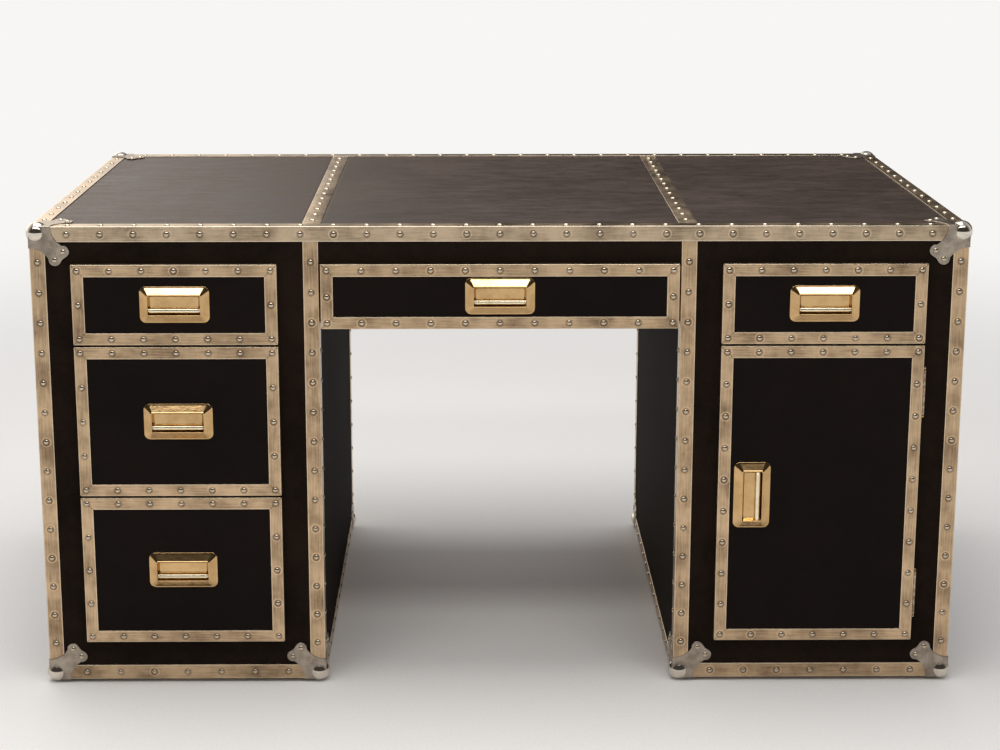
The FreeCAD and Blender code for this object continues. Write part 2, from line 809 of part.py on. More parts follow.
def door_panel():
    """Leather-covered board with a core that stands in the opening."""
    hole = DOOR_OPENING
    panel = front_panel(door_left, door_right, hole.front_low, hole.front_high)
    g = core_gap
    core = box(
        pedestal_middle - hole.half + g,
        pedestal_middle + hole.half - g,
        y0 + front_back,
        y0 + front_back + core_thick,
        hole.low + g,
        hole.high - g,
    )
    panel = panel.fuse(core).removeSplitter()
    for low in HINGE_LOWS:
        panel = panel.cut(leaf_seat(low, door_leaf_front, y0 + front_back))
    return panel.Solids[0]


def door_edging():
    """Edging of the door, cut away where the hinge leaves pass under it."""
    low, high = DOOR_OPENING.front_low, DOOR_OPENING.front_high
    pieces = edging(door_left, door_right, low, high, rivet_count_up_door, rivet_count_front)
    for low in HINGE_LOWS:
        seat = leaf_seat(low, door_leaf_front, y0 + front_back)
        pieces = [p.cut(seat).Solids[0] if p.BoundBox.intersect(seat.BoundBox) else p for p in pieces]
    return pieces


catch_x = pedestal_middle - DOOR_OPENING.half + catch_inset
catch_front = y0 + front_back + core_thick + strike_thick + seat_gap


def door_catch():
    """Magnetic catch under the rail and the ceiling board."""
    high = DOOR_OPENING.high
    deep = catch_front, catch_front + catch_deep
    return box(catch_x, catch_x + catch_length, *deep, high - catch_high, high)


def strike_plate():
    """Steel plate on the door's core, facing the catch."""
    x = catch_x + (catch_length - strike_length) / 2
    y = y0 + front_back + core_thick
    high = DOOR_OPENING.high - core_gap
    return box(x, x + strike_length, y, y + strike_thick, high - strike_high, high)


# ---- the parts ------------------------------------------------------------------------------------------
def face_leather_for_hinges(sheets):
    """Right pedestal's face leather with the seats of the hinge leaves."""
    face = sheets[-1]
    for low in HINGE_LOWS:
        face = face.cut(leaf_seat(low, y0, y0 + skin))
    return sheets[:-1] + [face.Solids[0]]


NODES = {
    "desktop_board": [desktop_board()],
    "desktop_leather": desktop_leather(),
    "desktop_straps": straps(),
    "top_edge_angles": top_edge_angles(),
    "desktop_rivets": desktop_rivets(),
    "top_corner_fittings": [place_fitting(c) for c in TOP_CORNERS],
    "foot_corner_fittings": [place_fitting(c) for c in FOOT_CORNERS],
    "centre_rail": centre_rail(),
    "back_apron": back_apron(),
    "apron_edging": apron_edging(),
    "drawer_runners": runners(),
    "right_outer_side": [bore_walls(outer_side(), 1)],
    "right_inner_side": [bore_walls(inner_side(), -1)],
    "left_outer_side": mirrored([outer_side()], EX),
    "left_inner_side": mirrored([inner_side()], EX),
    "right_face_frame": face_frame(CUPBOARD_STACK),
    "left_face_frame": mirrored(face_frame(DRAWER_STACK), EX),
    "right_leather": face_leather_for_hinges(pedestal_leather(CUPBOARD_STACK)),
    "left_leather": mirrored(pedestal_leather(DRAWER_STACK), EX),
}
for part_name, make in (("back", back), ("base", base)):
    NODES["right_" + part_name] = [make()]
    NODES["left_" + part_name] = mirrored([make()], EX)
for part_name, make in (
    ("corner_angles", corner_angles),
    ("base_angles", base_angles),
    ("pedestal_rivets", pedestal_rivets),
):
    NODES["right_" + part_name] = make()
    NODES["left_" + part_name] = mirrored(make(), EX)
NODES.update(pedestal_drawer("left_top_drawer", -pedestal_middle, TOP_OPENING, rivet_count_up_top))
NODES.update(pedestal_drawer("left_middle_drawer", -pedestal_middle, MIDDLE_OPENING, rivet_count_up_drawer))
NODES.update(pedestal_drawer("left_bottom_drawer", -pedestal_middle, BOTTOM_OPENING, rivet_count_up_drawer))
NODES.update(pedestal_drawer("right_drawer", pedestal_middle, TOP_OPENING, rivet_count_up_top))
centre_front = 2 * (knee - front_gap), centre_front_low, z0 + fronts_high
centre_inside = 2 * centre_box_half, centre_box_low, rail_low - box_top_gap
NODES.update(drawer("centre_drawer", 0, centre_front, centre_inside, rivet_count_up_top, rivet_count_centre))
door_middle_z = (DOOR_OPENING.front_low + DOOR_OPENING.front_high) / 2
NODES.update(
    {
        "cupboard_ceiling": [cupboard_ceiling()],
        "cupboard_shelf": [shelf()],
        "shelf_supports": shelf_supports(),
        "door_panel": [door_panel()],
        "door_edging": door_edging(),
        "door_pull": place_pull(door_left + door_pull_inset, door_middle_z + pull_rise, upright=True),
        "door_hinge_leaves": hinge_door_leaves(),
        "frame_hinge_leaves": hinge_frame_leaves(),
        "hinge_pins": hinge_pins(),
        "door_catch": [door_catch()],
        "strike_plate": [strike_plate()],
    }
)

os.makedirs("parts", exist_ok=True)
for node, solids in NODES.items():
    shape = solids[0] if len(solids) == 1 else Part.makeCompound(solids)
    shape.exportStep("parts/" + node + ".step")
    print(node, len(solids), "solids")
print(len(NODES), "nodes")
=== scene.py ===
# %% [markdown]
# # A campaign desk, dressed
# The desk is built like a travelling trunk: leather over boards, every edge bound in riveted aluminium,
# balls and plates on the corners, and brass pulls let into the fronts. Its construction comes in as a
# fixed frame, so each lesson here is about a surface: what it is on the desk, and how to shape it.

# %% Load the frame
import json
import math

import bpy
import numpy as np
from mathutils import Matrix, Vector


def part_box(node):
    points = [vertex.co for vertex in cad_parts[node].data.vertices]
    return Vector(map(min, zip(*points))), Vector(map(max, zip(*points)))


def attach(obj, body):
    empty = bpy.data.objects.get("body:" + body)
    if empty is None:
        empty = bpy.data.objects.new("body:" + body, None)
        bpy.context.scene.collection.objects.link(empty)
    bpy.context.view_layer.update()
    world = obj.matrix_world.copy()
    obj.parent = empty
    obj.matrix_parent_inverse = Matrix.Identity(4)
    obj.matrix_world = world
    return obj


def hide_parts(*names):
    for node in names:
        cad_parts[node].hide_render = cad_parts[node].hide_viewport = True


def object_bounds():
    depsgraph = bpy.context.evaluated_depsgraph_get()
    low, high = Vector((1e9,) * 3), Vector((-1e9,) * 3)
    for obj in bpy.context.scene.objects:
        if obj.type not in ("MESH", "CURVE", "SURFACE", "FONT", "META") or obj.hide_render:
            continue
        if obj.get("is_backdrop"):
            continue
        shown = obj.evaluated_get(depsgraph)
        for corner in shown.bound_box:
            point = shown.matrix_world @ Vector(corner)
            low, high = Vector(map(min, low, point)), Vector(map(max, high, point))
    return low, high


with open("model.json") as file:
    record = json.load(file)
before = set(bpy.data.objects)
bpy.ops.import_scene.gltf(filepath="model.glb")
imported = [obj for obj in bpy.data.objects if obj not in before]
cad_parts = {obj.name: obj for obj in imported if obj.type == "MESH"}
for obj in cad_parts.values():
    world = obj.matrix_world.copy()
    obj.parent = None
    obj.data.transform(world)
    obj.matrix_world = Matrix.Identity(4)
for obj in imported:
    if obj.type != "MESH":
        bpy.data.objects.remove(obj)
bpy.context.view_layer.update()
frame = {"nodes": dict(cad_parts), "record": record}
MM = 0.001
BODIES = frame["record"]["behaviour"]["bodies"]
BODY_OF = {node: body for body, nodes in BODIES.items() for node in nodes}

# %% [markdown]
# ## Measure the frame
# A new surface has to sit exactly where the frame's solid is. The frame's meshes are loose triangles, so
# equal corners are merged first, and triangles that share a corner are gathered into solids. From a solid
# of a known kind, a rivet or an angle bar, its place and direction can then be read with a few array
# operations, and no number is copied from the construction by hand.

# %% Split a node into its solids
def triangles_of(node):
    """Points (n, 3) of a node's mesh, and its triangles (m, 3) as places in that list."""
    mesh = frame["nodes"][node].data
    points = np.empty(len(mesh.vertices) * 3)
    mesh.vertices.foreach_get("co", points)
    mesh.calc_loop_triangles()
    triangles = np.empty(len(mesh.loop_triangles) * 3, int)
    mesh.loop_triangles.foreach_get("vertices", triangles)
    return points.reshape(-1, 3), triangles.reshape(-1, 3)


def solids(node):
    """Corner points of each solid of a node: equal points merged, then labels spread over triangles."""
    points, triangles = triangles_of(node)
    points, same = np.unique(points.round(7), axis=0, return_inverse=True)
    triangles = same.ravel()[triangles]
    label = np.arange(len(points))
    while True:
        lowest = label[triangles].min(1)
        spread = label.copy()
        np.minimum.at(spread, triangles.ravel(), np.repeat(lowest, 3))
        spread = spread[spread]
        if np.array_equal(spread, label):
            break
        label = spread
    return [points[label == k] for k in np.unique(label)]


def corners_of(node):
    """Lowest and highest corner of a node as arrays."""
    low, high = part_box(node)
    return np.array(low), np.array(high)


SOLIDS = {node: solids(node) for node in frame["nodes"] if "rivets" in node or "angles" in node
          or "edging" in node or node == "desktop_straps"}
print({node: len(found) for node, found in SOLIDS.items()})

# %% [markdown]
# ## Find the rivets
# A rivet head is the only solid under a centimetre across. Its short side is its axis, and its seat is
# the end where the points lie furthest from that axis, because a dome is widest where it stands.

# %% Read the seats of all rivets
HEAD_SIZE = 10 * MM


def rivet_seats(node):
    """Seat point and outward direction of each rivet of a node, as two (n, 3) arrays."""
    places, directions = [], []
    for points in SOLIDS[node]:
        low, high = points.min(0), points.max(0)
        if (high - low).max() > HEAD_SIZE:
            continue
        axis = (high - low).argmin()
        middle = (low + high) / 2
        away = np.linalg.norm(np.delete(points - middle, axis, 1), axis=1)
        seat_is_low = points[away.argmax(), axis] < middle[axis]
        direction = np.zeros(3)
        direction[axis] = 1 if seat_is_low else -1
        middle[axis] = low[axis] if seat_is_low else high[axis]
        places.append(middle)
        directions.append(direction)
    return np.array(places).reshape(-1, 3), np.array(directions).reshape(-1, 3)


SEATS = {node: rivet_seats(node) for node in SOLIDS}
ALL_SEATS = np.concatenate([places for places, _ in SEATS.values()])
print(len(ALL_SEATS), "rivets")

# %% [markdown]
# ## The camera
# The desk is seen from the front, from a little above its top. A camera that points down makes uprights
# lean together, so a part of the look down comes from shifting the lens instead, which keeps them closer
# to upright without moving the camera.

# %% Place the camera
LENS = 66.6
SENSOR = 36.0
PLACE = (-48 * MM, -3.256, 1.340)
LOOK_DOWN = math.radians(11.63)
LOOK_RIGHT = math.radians(0.44)
SHIFT = (0.0161, -0.13)
camera = bpy.data.objects.new("camera", bpy.data.cameras.new("camera"))
bpy.context.scene.collection.objects.link(camera)
camera.data.lens = LENS
camera.data.sensor_width = SENSOR
camera.data.shift_x, camera.data.shift_y = SHIFT
camera.location = PLACE
camera.rotation_euler = (math.pi / 2 - LOOK_DOWN, 0, -LOOK_RIGHT)
bpy.context.scene.camera = camera
print("camera at", [round(v, 3) for v in PLACE])

# %% [markdown]
# ## Surfaces from arrays
# Nearly every piece of the desk is a profile carried along a line, or a flat outline with a shaped edge.
# Both are the same thing to a computer: rings of points, laid one after another, with a quad between four
# neighbours and a lid on each end. So there is one function that turns rings into a part, and every part
# also carries its own coordinates: how far along, across and through it a point lies. Brush marks and wood
# grain follow those, whichever way the part is turned.

# %% Rings into a part
def part(rings, own=None, beat=1.0):
    """Closed surface through rings (m, n, 3): quads between neighbours and a lid on both ends.

    own holds the part's own coordinates of each point, and beat is the distance between its rivets. The
    sum of a . (b x c) over the triangles is six times the volume, and below 0 the faces point inwards.
    """
    m, n = rings.shape[:2]
    row, column = np.meshgrid(np.arange(m - 1), np.arange(n), indexing="ij")
    beside = (column + 1) % n
    quads = np.stack([row * n + column, row * n + beside, (row + 1) * n + beside, (row + 1) * n + column], -1)
    quads = quads.reshape(-1, 4)
    lids = np.stack([np.arange(n)[::-1], np.arange((m - 1) * n, m * n)])
    points = rings.reshape(-1, 3)
    a, b, c, d = (points[quads[:, k]] for k in range(4))
    volume = (a * (np.cross(b, c) + np.cross(c, d))).sum()
    corner = points[lids]
    fan = np.cross(corner[:, 1:-1] - corner[:, :1], corner[:, 2:] - corner[:, :1])
    volume += (corner[:, :1] * fan).sum()
    if volume < 0:
        quads, lids = quads[:, ::-1], lids[:, ::-1]
    own = points if own is None else own.reshape(-1, 3)
    return {"points": points, "quads": quads, "lids": lids, "own": own, "beat": np.full(m * n, beat)}


def arc(middle, radius, start, end, count):
    """Points of an arc: middle + radius * (cosine, sine) of even steps between two angles in degrees."""
    turn = np.radians(np.linspace(start, end, count))
    return np.array(middle) + radius * np.stack([np.cos(turn), np.sin(turn)], -1)


def circle(count):
    """Points of the unit circle, (count, 2), counter-clockwise."""
    turn = np.arange(count) * 2 * np.pi / count
    return np.stack([np.cos(turn), np.sin(turn)], -1)


def round_rectangle(length, height, radius, steps=5):
    """Rectangle about the origin with a quarter arc at each corner, (4 * steps, 2), counter-clockwise."""
    a, b = length / 2 - radius, height / 2 - radius
    middles = [(a, b), (-a, b), (-a, -b), (a, -b)]
    return np.concatenate([arc(p, radius, 90 * k, 90 * k + 90, steps) for k, p in enumerate(middles)])


def lifted(outline, height):
    """Flat outline (n, 2) as a ring (n, 3) at one height."""
    return np.column_stack([outline, np.full(len(outline), height)])


rod = part(np.stack([lifted(circle(12), height) for height in (0.0, 5.0)]))
print("two rings of 12 points make", len(rod["quads"]), "quads and", len(rod["lids"]), "lids")

# %% [markdown]
# ## One mesh for each group
# Parts that belong together become one object. It stands at the origin with its place in its points, rides
# on the body of the node that it stands for, and takes smooth shading with hard edges only where the
# surface really turns.

# %% Parts into an object
CREASE = math.radians(38)


def mesh_of(name, parts):
    """One mesh of all parts. Its points keep their part's own coordinates and beat as attributes."""
    faces, first = [], 0
    for p in parts:
        faces += (p["quads"] + first).tolist() + (p["lids"] + first).tolist()
        first += len(p["points"])
    mesh = bpy.data.meshes.new(name)
    mesh.from_pydata(np.concatenate([p["points"] for p in parts]).tolist(), [], faces)
    for label, kind, field in (("own", "FLOAT_VECTOR", "vector"), ("beat", "FLOAT", "value")):
        values = np.concatenate([p[label] for p in parts])
        layer = mesh.attributes.new(label, kind, "POINT")
        layer.data.foreach_set(field, values.astype(np.float32).ravel())
    return mesh


def dress(name, parts, material, node=None, body=None):
    """Makes an object of parts with its finish, which rides on a body and may stand for a node."""
    mesh = mesh_of(name, parts)
    mesh.polygons.foreach_set("use_smooth", np.ones(len(mesh.polygons), bool))
    mesh.set_sharp_from_angle(angle=CREASE)
    mesh.update()
    mesh.materials.append(material)
    piece = bpy.data.objects.new(name, mesh)
    bpy.context.scene.collection.objects.link(piece)
    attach(piece, body or BODY_OF[node])
    if node:
        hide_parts(node)
    print(name, len(mesh.vertices), "points")


print("edges that turn by more than", round(math.degrees(CREASE)), "degrees stay sharp")

# %% [markdown]
# ## Shader maths as sums
# A material is arithmetic on a point of the surface. Wiring that by hand hides the formula, so one small
# class wraps a socket, and a plus sign between two of them adds the Math node. Everything else comes from
# its method node, which takes a node's type, its settings and what its sockets are given.

# %% The class that wraps a socket
class Wire:
    """A socket of a node tree. Arithmetic on it adds Math nodes."""

    def __init__(self, tree, socket=None):
        self.tree, self.socket = tree, socket

    def node(self, kind, settings=(), sockets=(), out=None):
        """Adds a node: its type, its settings, then the values or links of its sockets."""
        made = self.tree.nodes.new("ShaderNode" + kind)
        for label, value in dict(settings).items():
            setattr(made, label, value)
        live = [s for s in made.inputs if s.enabled]
        for label, value in dict(sockets).items():
            socket = live[label] if isinstance(label, int) else [s for s in live if s.name == label][0]
            if isinstance(value, Wire):
                self.tree.links.new(value.socket, socket)
            else:
                socket.default_value = value
        ready = [s for s in made.outputs if s.enabled]
        return Wire(self.tree, ready[0] if out is None else [s for s in ready if s.name == out][0])

    def math(self, operation, *values, clamp=False):
        """Math node on values or wires."""
        return self.node("Math", {"operation": operation, "use_clamp": clamp}, dict(enumerate(values)))

    def __add__(self, other):
        return self.math("ADD", self, other)

    def __sub__(self, other):
        return self.math("SUBTRACT", self, other)

    def __rsub__(self, other):
        return self.math("SUBTRACT", other, self)

    def __mul__(self, other):
        return self.math("MULTIPLY", self, other)

    def __truediv__(self, other):
        return self.math("DIVIDE", self, other)

    def __pow__(self, other):
        return self.math("POWER", self, other)

    __radd__ = __add__
    __rmul__ = __mul__

    def between(self, low, high):
        """0 below low and 1 above high, with a smooth rise between them."""
        limits = {"Value": self, "From Min": low, "From Max": high}
        return self.node("MapRange", {"interpolation_type": "SMOOTHSTEP"}, limits)

    def paint(self, first, second):
        """Colour that goes from first to second as this mask goes from 0 to 1."""
        first, second = (c if isinstance(c, Wire) else (*c, 1.0) for c in (first, second))
        return self.node("Mix", {"data_type": "RGBA"}, {"Factor": self, "A": first, "B": second})

    def noise(self, scale, detail=3.0, rough=0.5):
        """Noise over this vector, from 0 to 1."""
        sockets = {"Vector": self, "Scale": scale, "Detail": detail, "Roughness": rough}
        return self.node("TexNoise", {}, sockets)

    def stretched(self, scale, move=(0.0, 0.0, 0.0)):
        """This vector times a scale on each axis."""
        return self.node("Mapping", {}, {"Vector": self, "Scale": scale, "Location": move})


print("a Wire can", [name for name in vars(Wire) if not name.startswith("__")])

# %% [markdown]
# ## Finishes from recipes
# A finish is a recipe: a function that takes the empty tree and says what varies over the surface. What is
# the same everywhere, such as how metallic it is, stays a plain number on the shader. A pattern follows
# either the place of a point in space or its place on its own part, and relief is a bump in metres.

# %% Recipes into materials
def finish(name, recipe, **constants):
    """Material whose varying sockets come from recipe(tree) and whose constant ones are set by name."""
    made = bpy.data.materials.new(name)
    made.use_nodes = True
    tree = made.node_tree
    shader = tree.nodes["Principled BSDF"]
    for label, value in constants.items():
        shader.inputs[label.replace("_", " ")].default_value = value
    for label, wire in recipe(Wire(tree)).items():
        tree.links.new(wire.socket, shader.inputs[label])
    print("finish", name, "from", len(tree.nodes), "nodes")
    return made


def metal(name, recipe):
    """Finish of bare metal."""
    return finish(name, recipe, Metallic=1.0)


def bump(tree, height, depth, strength=1.0):
    """Normal of a surface whose height is a mask times a depth in metres."""
    return tree.node("Bump", {}, {"Height": height, "Distance": depth, "Strength": strength})


def place(tree):
    """Where a point of the surface is, in metres."""
    return tree.node("TexCoord", {}, {}, "Object")


def own_place(tree):
    """Where a point is on its own part: along, across and through."""
    return tree.node("Attribute", {"attribute_name": "own"}, {}, "Vector")


# %% [markdown]
# ## Brushed aluminium
# The edging is plain aluminium angle, drawn lengthwise and never polished: fine scratches along the bar,
# cloudy patches where hands and glue have been, a worn bright line on each edge, and round each rivet the
# shallow dish that the hammer left, grey where dirt has stayed in it, with a bright ring about some. The dish
# repeats with the rivets, so the part's own length is divided by their distance and the remainder
# says how far the next one is. The top, the uprights and the fronts are the same metal, but every colour
# carries a painted reflection of warm brown surroundings. It is paler on the top and warmer on the uprights
# and the fronts, so the recipe takes its three colours, of low spots, high spots and edges, from outside.

# %% Aluminium for the edging
RIVET_LINE = 12.5 * MM
FRONT_LINE = 10 * MM
DISH = (4.2 * MM, 7.5 * MM)
LIP_INSIDE = (5.8 * MM, 7.2 * MM)
LIP_OUTSIDE = (7.4 * MM, 9.0 * MM)
# Painted reflection: both sets are browner than bare aluminium and stand in for warm surroundings mirrored in
# the metal; the uprights' set carries the most.
PALE_WITH_REFLECTION = (0.21, 0.15, 0.098), (0.64, 0.50, 0.345), (0.80, 0.69, 0.54)
WARM_WITH_REFLECTION = (0.19, 0.125, 0.074), (0.64, 0.462, 0.288), (0.82, 0.68, 0.49)


def aluminium(line, worn, dark, light, edge):
    """Brushed aluminium with rivets on a line at that distance from the corner, and worn edges."""
    def recipe(t):
        own = own_place(t)
        along, across, through = (own.node("SeparateXYZ", {}, {"Vector": own}, axis) for axis in "XYZ")
        beat = t.node("Attribute", {"attribute_name": "beat"}, {}, "Fac")
        off = t.math("MAXIMUM", across, through)
        step = t.math("FRACT", along / beat + 0.5) - 0.5
        away = t.math("SQRT", (step * beat) ** 2 + (off - line) ** 2)
        dish = 1 - away.between(*DISH)
        struck = place(t).noise(9.0, 1.0).between(0.48, 0.58)
        lip = away.between(*LIP_INSIDE) * (1 - away.between(*LIP_OUTSIDE)) * struck
        scratches = own.stretched((6.0, 1400.0, 1400.0)).noise(1.0, 4.0, 0.65)
        drawn = own.stretched((22.0, 420.0, 420.0), (3.1, 0, 0)).noise(1.0, 2.0)
        cloud = place(t).noise(16.0, 4.0, 0.6)
        grime = place(t).noise(60.0, 3.0, 0.7)
        bright = t.math("ABSOLUTE", off - line).between(line - worn * 1.6, line - worn * 0.4)
        tone = cloud * 0.85 + drawn * 0.35 - dish * grime * 0.4 + lip * 0.22 - 0.06
        colour = (bright * 0.6).paint(tone.between(0.25, 0.75).paint(dark, light), edge)
        rough = 0.15 + cloud * 0.18 + scratches * 0.14 - bright * 0.06
        height = scratches * 0.04 + drawn * 0.06 - dish * 0.55 + lip * 0.2 + cloud * 1.1
        return {"Base Color": colour, "Roughness": rough, "Normal": bump(t, height, 0.35 * MM)}

    return recipe


TOP_EDGING = metal("edging_aluminium", aluminium(RIVET_LINE, 1.4 * MM, *PALE_WITH_REFLECTION))
EDGING = metal("upright_aluminium", aluminium(RIVET_LINE, 1.4 * MM, *WARM_WITH_REFLECTION))
FRONT_EDGING = metal("front_edging_aluminium", aluminium(FRONT_LINE, 1.2 * MM, *WARM_WITH_REFLECTION))

# %% [markdown]
# ## Polished heads and balls
# Rivet heads and corner balls are small bright mirrors. They are too small and too curved to need a pattern
# that can be read, but a perfect mirror looks unreal, so their shine is broken by haze. The balls are steel
# and the rivets are aluminium. Both pairs of colours are darker and browner than the bare metal. This is a
# painted reflection of warm surroundings that shows in their lower halves, while the lamps keep their tops
# white. The rivets carry the most of it, so one recipe takes either pair of colours. The corner plates are
# steel as well, but pressed from sheet and gone grey.

# %% Polished and satin metal
def polished(clean, dull):
    """Bright metal with haze and a few darker spots, between two colours."""
    def recipe(t):
        haze = place(t).noise(240.0, 3.0, 0.6)
        spots = place(t).noise(900.0, 1.0).between(0.62, 0.72)
        colour = (spots * 0.5 + haze * 0.3).paint(clean, dull)
        return {"Base Color": colour, "Roughness": 0.06 + haze * 0.12}

    return recipe


def satin(t):
    """Pressed steel gone grey: stipple from the press, cloudy wear and small pits."""
    at = place(t)
    cloud = at.noise(45.0, 4.0, 0.65)
    stipple = at.noise(620.0, 2.0, 0.6)
    pits = at.noise(310.0, 1.0).between(0.63, 0.7)
    colour = (cloud * 0.8 + stipple * 0.2).between(0.3, 0.7).paint((0.23, 0.19, 0.15), (0.48, 0.415, 0.34))
    height = stipple * 0.35 + cloud * 0.4 - pits * 0.4
    return {"Base Color": colour, "Roughness": 0.26 + cloud * 0.2, "Normal": bump(t, height, 0.18 * MM)}


# Painted reflection: the warm brown in both pairs stands in for surroundings mirrored in the metal.
POLISHED_WITH_REFLECTION = metal("polished_steel", polished((0.74, 0.68, 0.59), (0.40, 0.35, 0.29)))
RIVET_WITH_REFLECTION = metal("rivet_aluminium", polished((0.62, 0.53, 0.41), (0.27, 0.215, 0.15)))
SATIN = metal("satin_steel", satin)

# %% [markdown]
# ## Polished brass
# The pulls are pressed brass, polished and lacquered. Brass takes its look from what it mirrors, so its
# own colour is kept clean, with only handling marks: a little duller and browner in soft patches. Fingers
# have rubbed the grip bars, so they are less of a mirror and catch light from a wider angle. Their colour
# is also much paler, a painted highlight that draws a bright line across each bar.

# %% Brass for the pulls
def brass(clean, dull, shine):
    """Polished brass with handling haze and fine marks; shine is its lowest roughness."""
    def recipe(t):
        cloud = place(t).noise(38.0, 3.0, 0.6)
        fine = place(t).noise(420.0, 2.0)
        colour = cloud.between(0.35, 0.75).paint(clean, dull)
        rough = shine + cloud * 0.08 + fine * 0.04
        return {"Base Color": colour, "Roughness": rough, "Normal": bump(t, cloud, 0.25 * MM)}

    return recipe


BRASS = metal("pull_brass", brass((0.62, 0.41, 0.195), (0.50, 0.315, 0.14), 0.06))
# Painted highlight: the grip bar's pale colour draws the bright line across it.
GRIP_PAINTED_HIGHLIGHT = metal("grip_brass", brass((0.88, 0.80, 0.60), (0.78, 0.66, 0.44), 0.20))

# %% [markdown]
# ## Leather
# The panels are thin bookbinder's leather, glued flat. What shows is the grain, a net of tiny cells about
# a millimetre across, broken by fine creases, and a sheen that comes and goes in broad patches. The cells
# come from Voronoi distances, the creases and patches from noise at two other scales. The desktop is
# browner and shinier than the upright panels, and wiping has left fine lines across it, which are noise
# stretched along the desk.

# %% Leather for the fronts, the carcass and the desktop
FRONT_TONES = (0.0045, 0.003, 0.0024), (0.0105, 0.0064, 0.005)
SIDE_TONES = (0.0065, 0.0043, 0.0031), (0.0185, 0.0118, 0.0081)
TOP_TONES = (0.0145, 0.0083, 0.0056), (0.040, 0.0225, 0.015)


def leather(dark, light, shine, wiped=0.0):
    """Grained leather between two colours; shine is its lowest roughness, wiped the depth of its lines."""
    def recipe(t):
        at = place(t)
        wobble = at.node("VectorMath", {"operation": "SCALE"}, {0: at.noise(300.0, 1.0), "Scale": 0.0006})
        at = at.node("VectorMath", {"operation": "ADD"}, {0: at, 1: wobble})
        cells = at.node("TexVoronoi", {"feature": "SMOOTH_F1"}, {"Vector": at, "Scale": 900.0})
        creases = at.stretched((1.0, 0.55, 0.8)).noise(140.0, 4.0, 0.65)
        patch = at.noise(5.5, 4.0, 0.6)
        lines = (at.stretched((16.0, 55.0, 55.0)).noise(1.0, 6.0, 0.75) - 0.5) * wiped
        worn = at.noise(33.0, 5.0, 0.7)
        tone = patch * 0.55 + worn * 0.3 + creases * 0.25 + lines
        colour = tone.between(0.25, 0.8).paint(dark, light)
        rough = shine + patch * 0.16 + creases * 0.12 + worn * 0.06 + lines * 0.3
        height = cells * 0.5 + creases * 0.8 + lines
        return {"Base Color": colour, "Roughness": rough, "Normal": bump(t, height, 0.16 * MM, 0.8)}

    return recipe


FRONT_LEATHER = finish("front_leather", leather(*FRONT_TONES, 0.46), Specular_IOR_Level=0.07)
SIDE_LEATHER = finish("side_leather", leather(*SIDE_TONES, 0.56), Specular_IOR_Level=0.02)
TOP_LEATHER = finish("desktop_leather", leather(*TOP_TONES, 0.30, 1.1), Specular_IOR_Level=0.4)

# %% [markdown]
# ## Wood
# Inside, the carcass is plain stained board, the drawers are paler, clear-finished stock, and the runners
# are waxed. Grain is long streaks down the board with rings across its end, so the same noise is stretched
# hard along the grain. A board that is made here brings its own coordinates. A node of the frame has none,
# so its grain runs along an axis of space that the recipe is told.

# %% Wood that follows an axis, or the part's own length
def wood(dark, light, axis=None):
    """Wood grain along one axis of space, or along the part itself."""
    def recipe(t):
        at = place(t) if axis is not None else own_place(t)
        along = 0 if axis is None else axis
        streak = [90.0, 90.0, 90.0]
        streak[along] = 3.0
        pore = [900.0, 900.0, 900.0]
        pore[along] = 30.0
        bend = at.stretched(tuple(v / 14 for v in streak)).noise(1.0, 2.0)
        rings = t.math("FRACT", bend * 9.0)
        rings = rings.between(0.0, 0.7) * (1 - rings.between(0.8, 1.0))
        fibre = at.stretched(tuple(streak)).noise(1.0, 4.0, 0.6)
        pores = at.stretched(tuple(pore)).noise(1.0, 2.0, 0.5).between(0.58, 0.72)
        tone = fibre * 0.6 + rings * 0.3 + bend * 0.3 - pores * 0.25
        colour = tone.between(0.2, 0.85).paint(dark, light)
        height = fibre * 0.4 - pores * 0.8
        rough = 0.42 + fibre * 0.2
        return {"Base Color": colour, "Roughness": rough, "Normal": bump(t, height, 0.2 * MM, 0.7)}

    return recipe


STAINED = (0.055, 0.026, 0.013), (0.14, 0.07, 0.036)
CLEAR = (0.30, 0.17, 0.08), (0.52, 0.34, 0.18)
WAXED = (0.22, 0.12, 0.055), (0.42, 0.26, 0.13)
WOOD_ALONG_X = finish("carcass_wood_x", wood(*STAINED, axis=0))
WOOD_ALONG_Z = finish("carcass_wood_z", wood(*STAINED, axis=2))
BOARD_WOOD = finish("board_wood", wood(*STAINED))
DRAWER_WOOD = finish("drawer_wood", wood(*CLEAR))
RUNNER_WOOD = finish("runner_board_wood", wood(*WAXED))

# %% [markdown]
# ## Small hardware
# The leaves of the hinges are old brass gone brown, brighter in patches where they are rubbed. The shelf
# supports and the strike plate are zinc-plated, and the catch is moulded in black.

# %% Hardware finishes
def aged(t):
    """Dull brown metal, brighter where it is rubbed."""
    cloud = place(t).noise(170.0, 4.0, 0.6)
    colour = cloud.between(0.35, 0.7).paint((0.26, 0.185, 0.12), (0.62, 0.50, 0.36))
    return {"Base Color": colour, "Roughness": 0.22 + cloud * 0.25, "Normal": bump(t, cloud, 0.1 * MM)}


def plated(t):
    """Zinc plating: a fine spangle and a few dull spots."""
    cells = t.node("TexVoronoi", {"feature": "F1"}, {"Vector": place(t), "Scale": 420.0}, "Color")
    spangle = cells.node("SeparateColor", {}, {"Color": cells}, "Red")
    dull = place(t).noise(90.0, 3.0)
    colour = (spangle * 0.6 + dull * 0.4).paint((0.46, 0.47, 0.48), (0.68, 0.68, 0.68))
    return {"Base Color": colour, "Roughness": 0.25 + dull * 0.3}


def moulded(t):
    """Black plastic with the fine texture of its mould."""
    grain = place(t).noise(1500.0, 2.0)
    colour = grain.paint((0.012, 0.012, 0.013), (0.03, 0.03, 0.032))
    return {"Base Color": colour, "Roughness": 0.45 + grain * 0.2, "Normal": bump(t, grain, 0.05 * MM)}


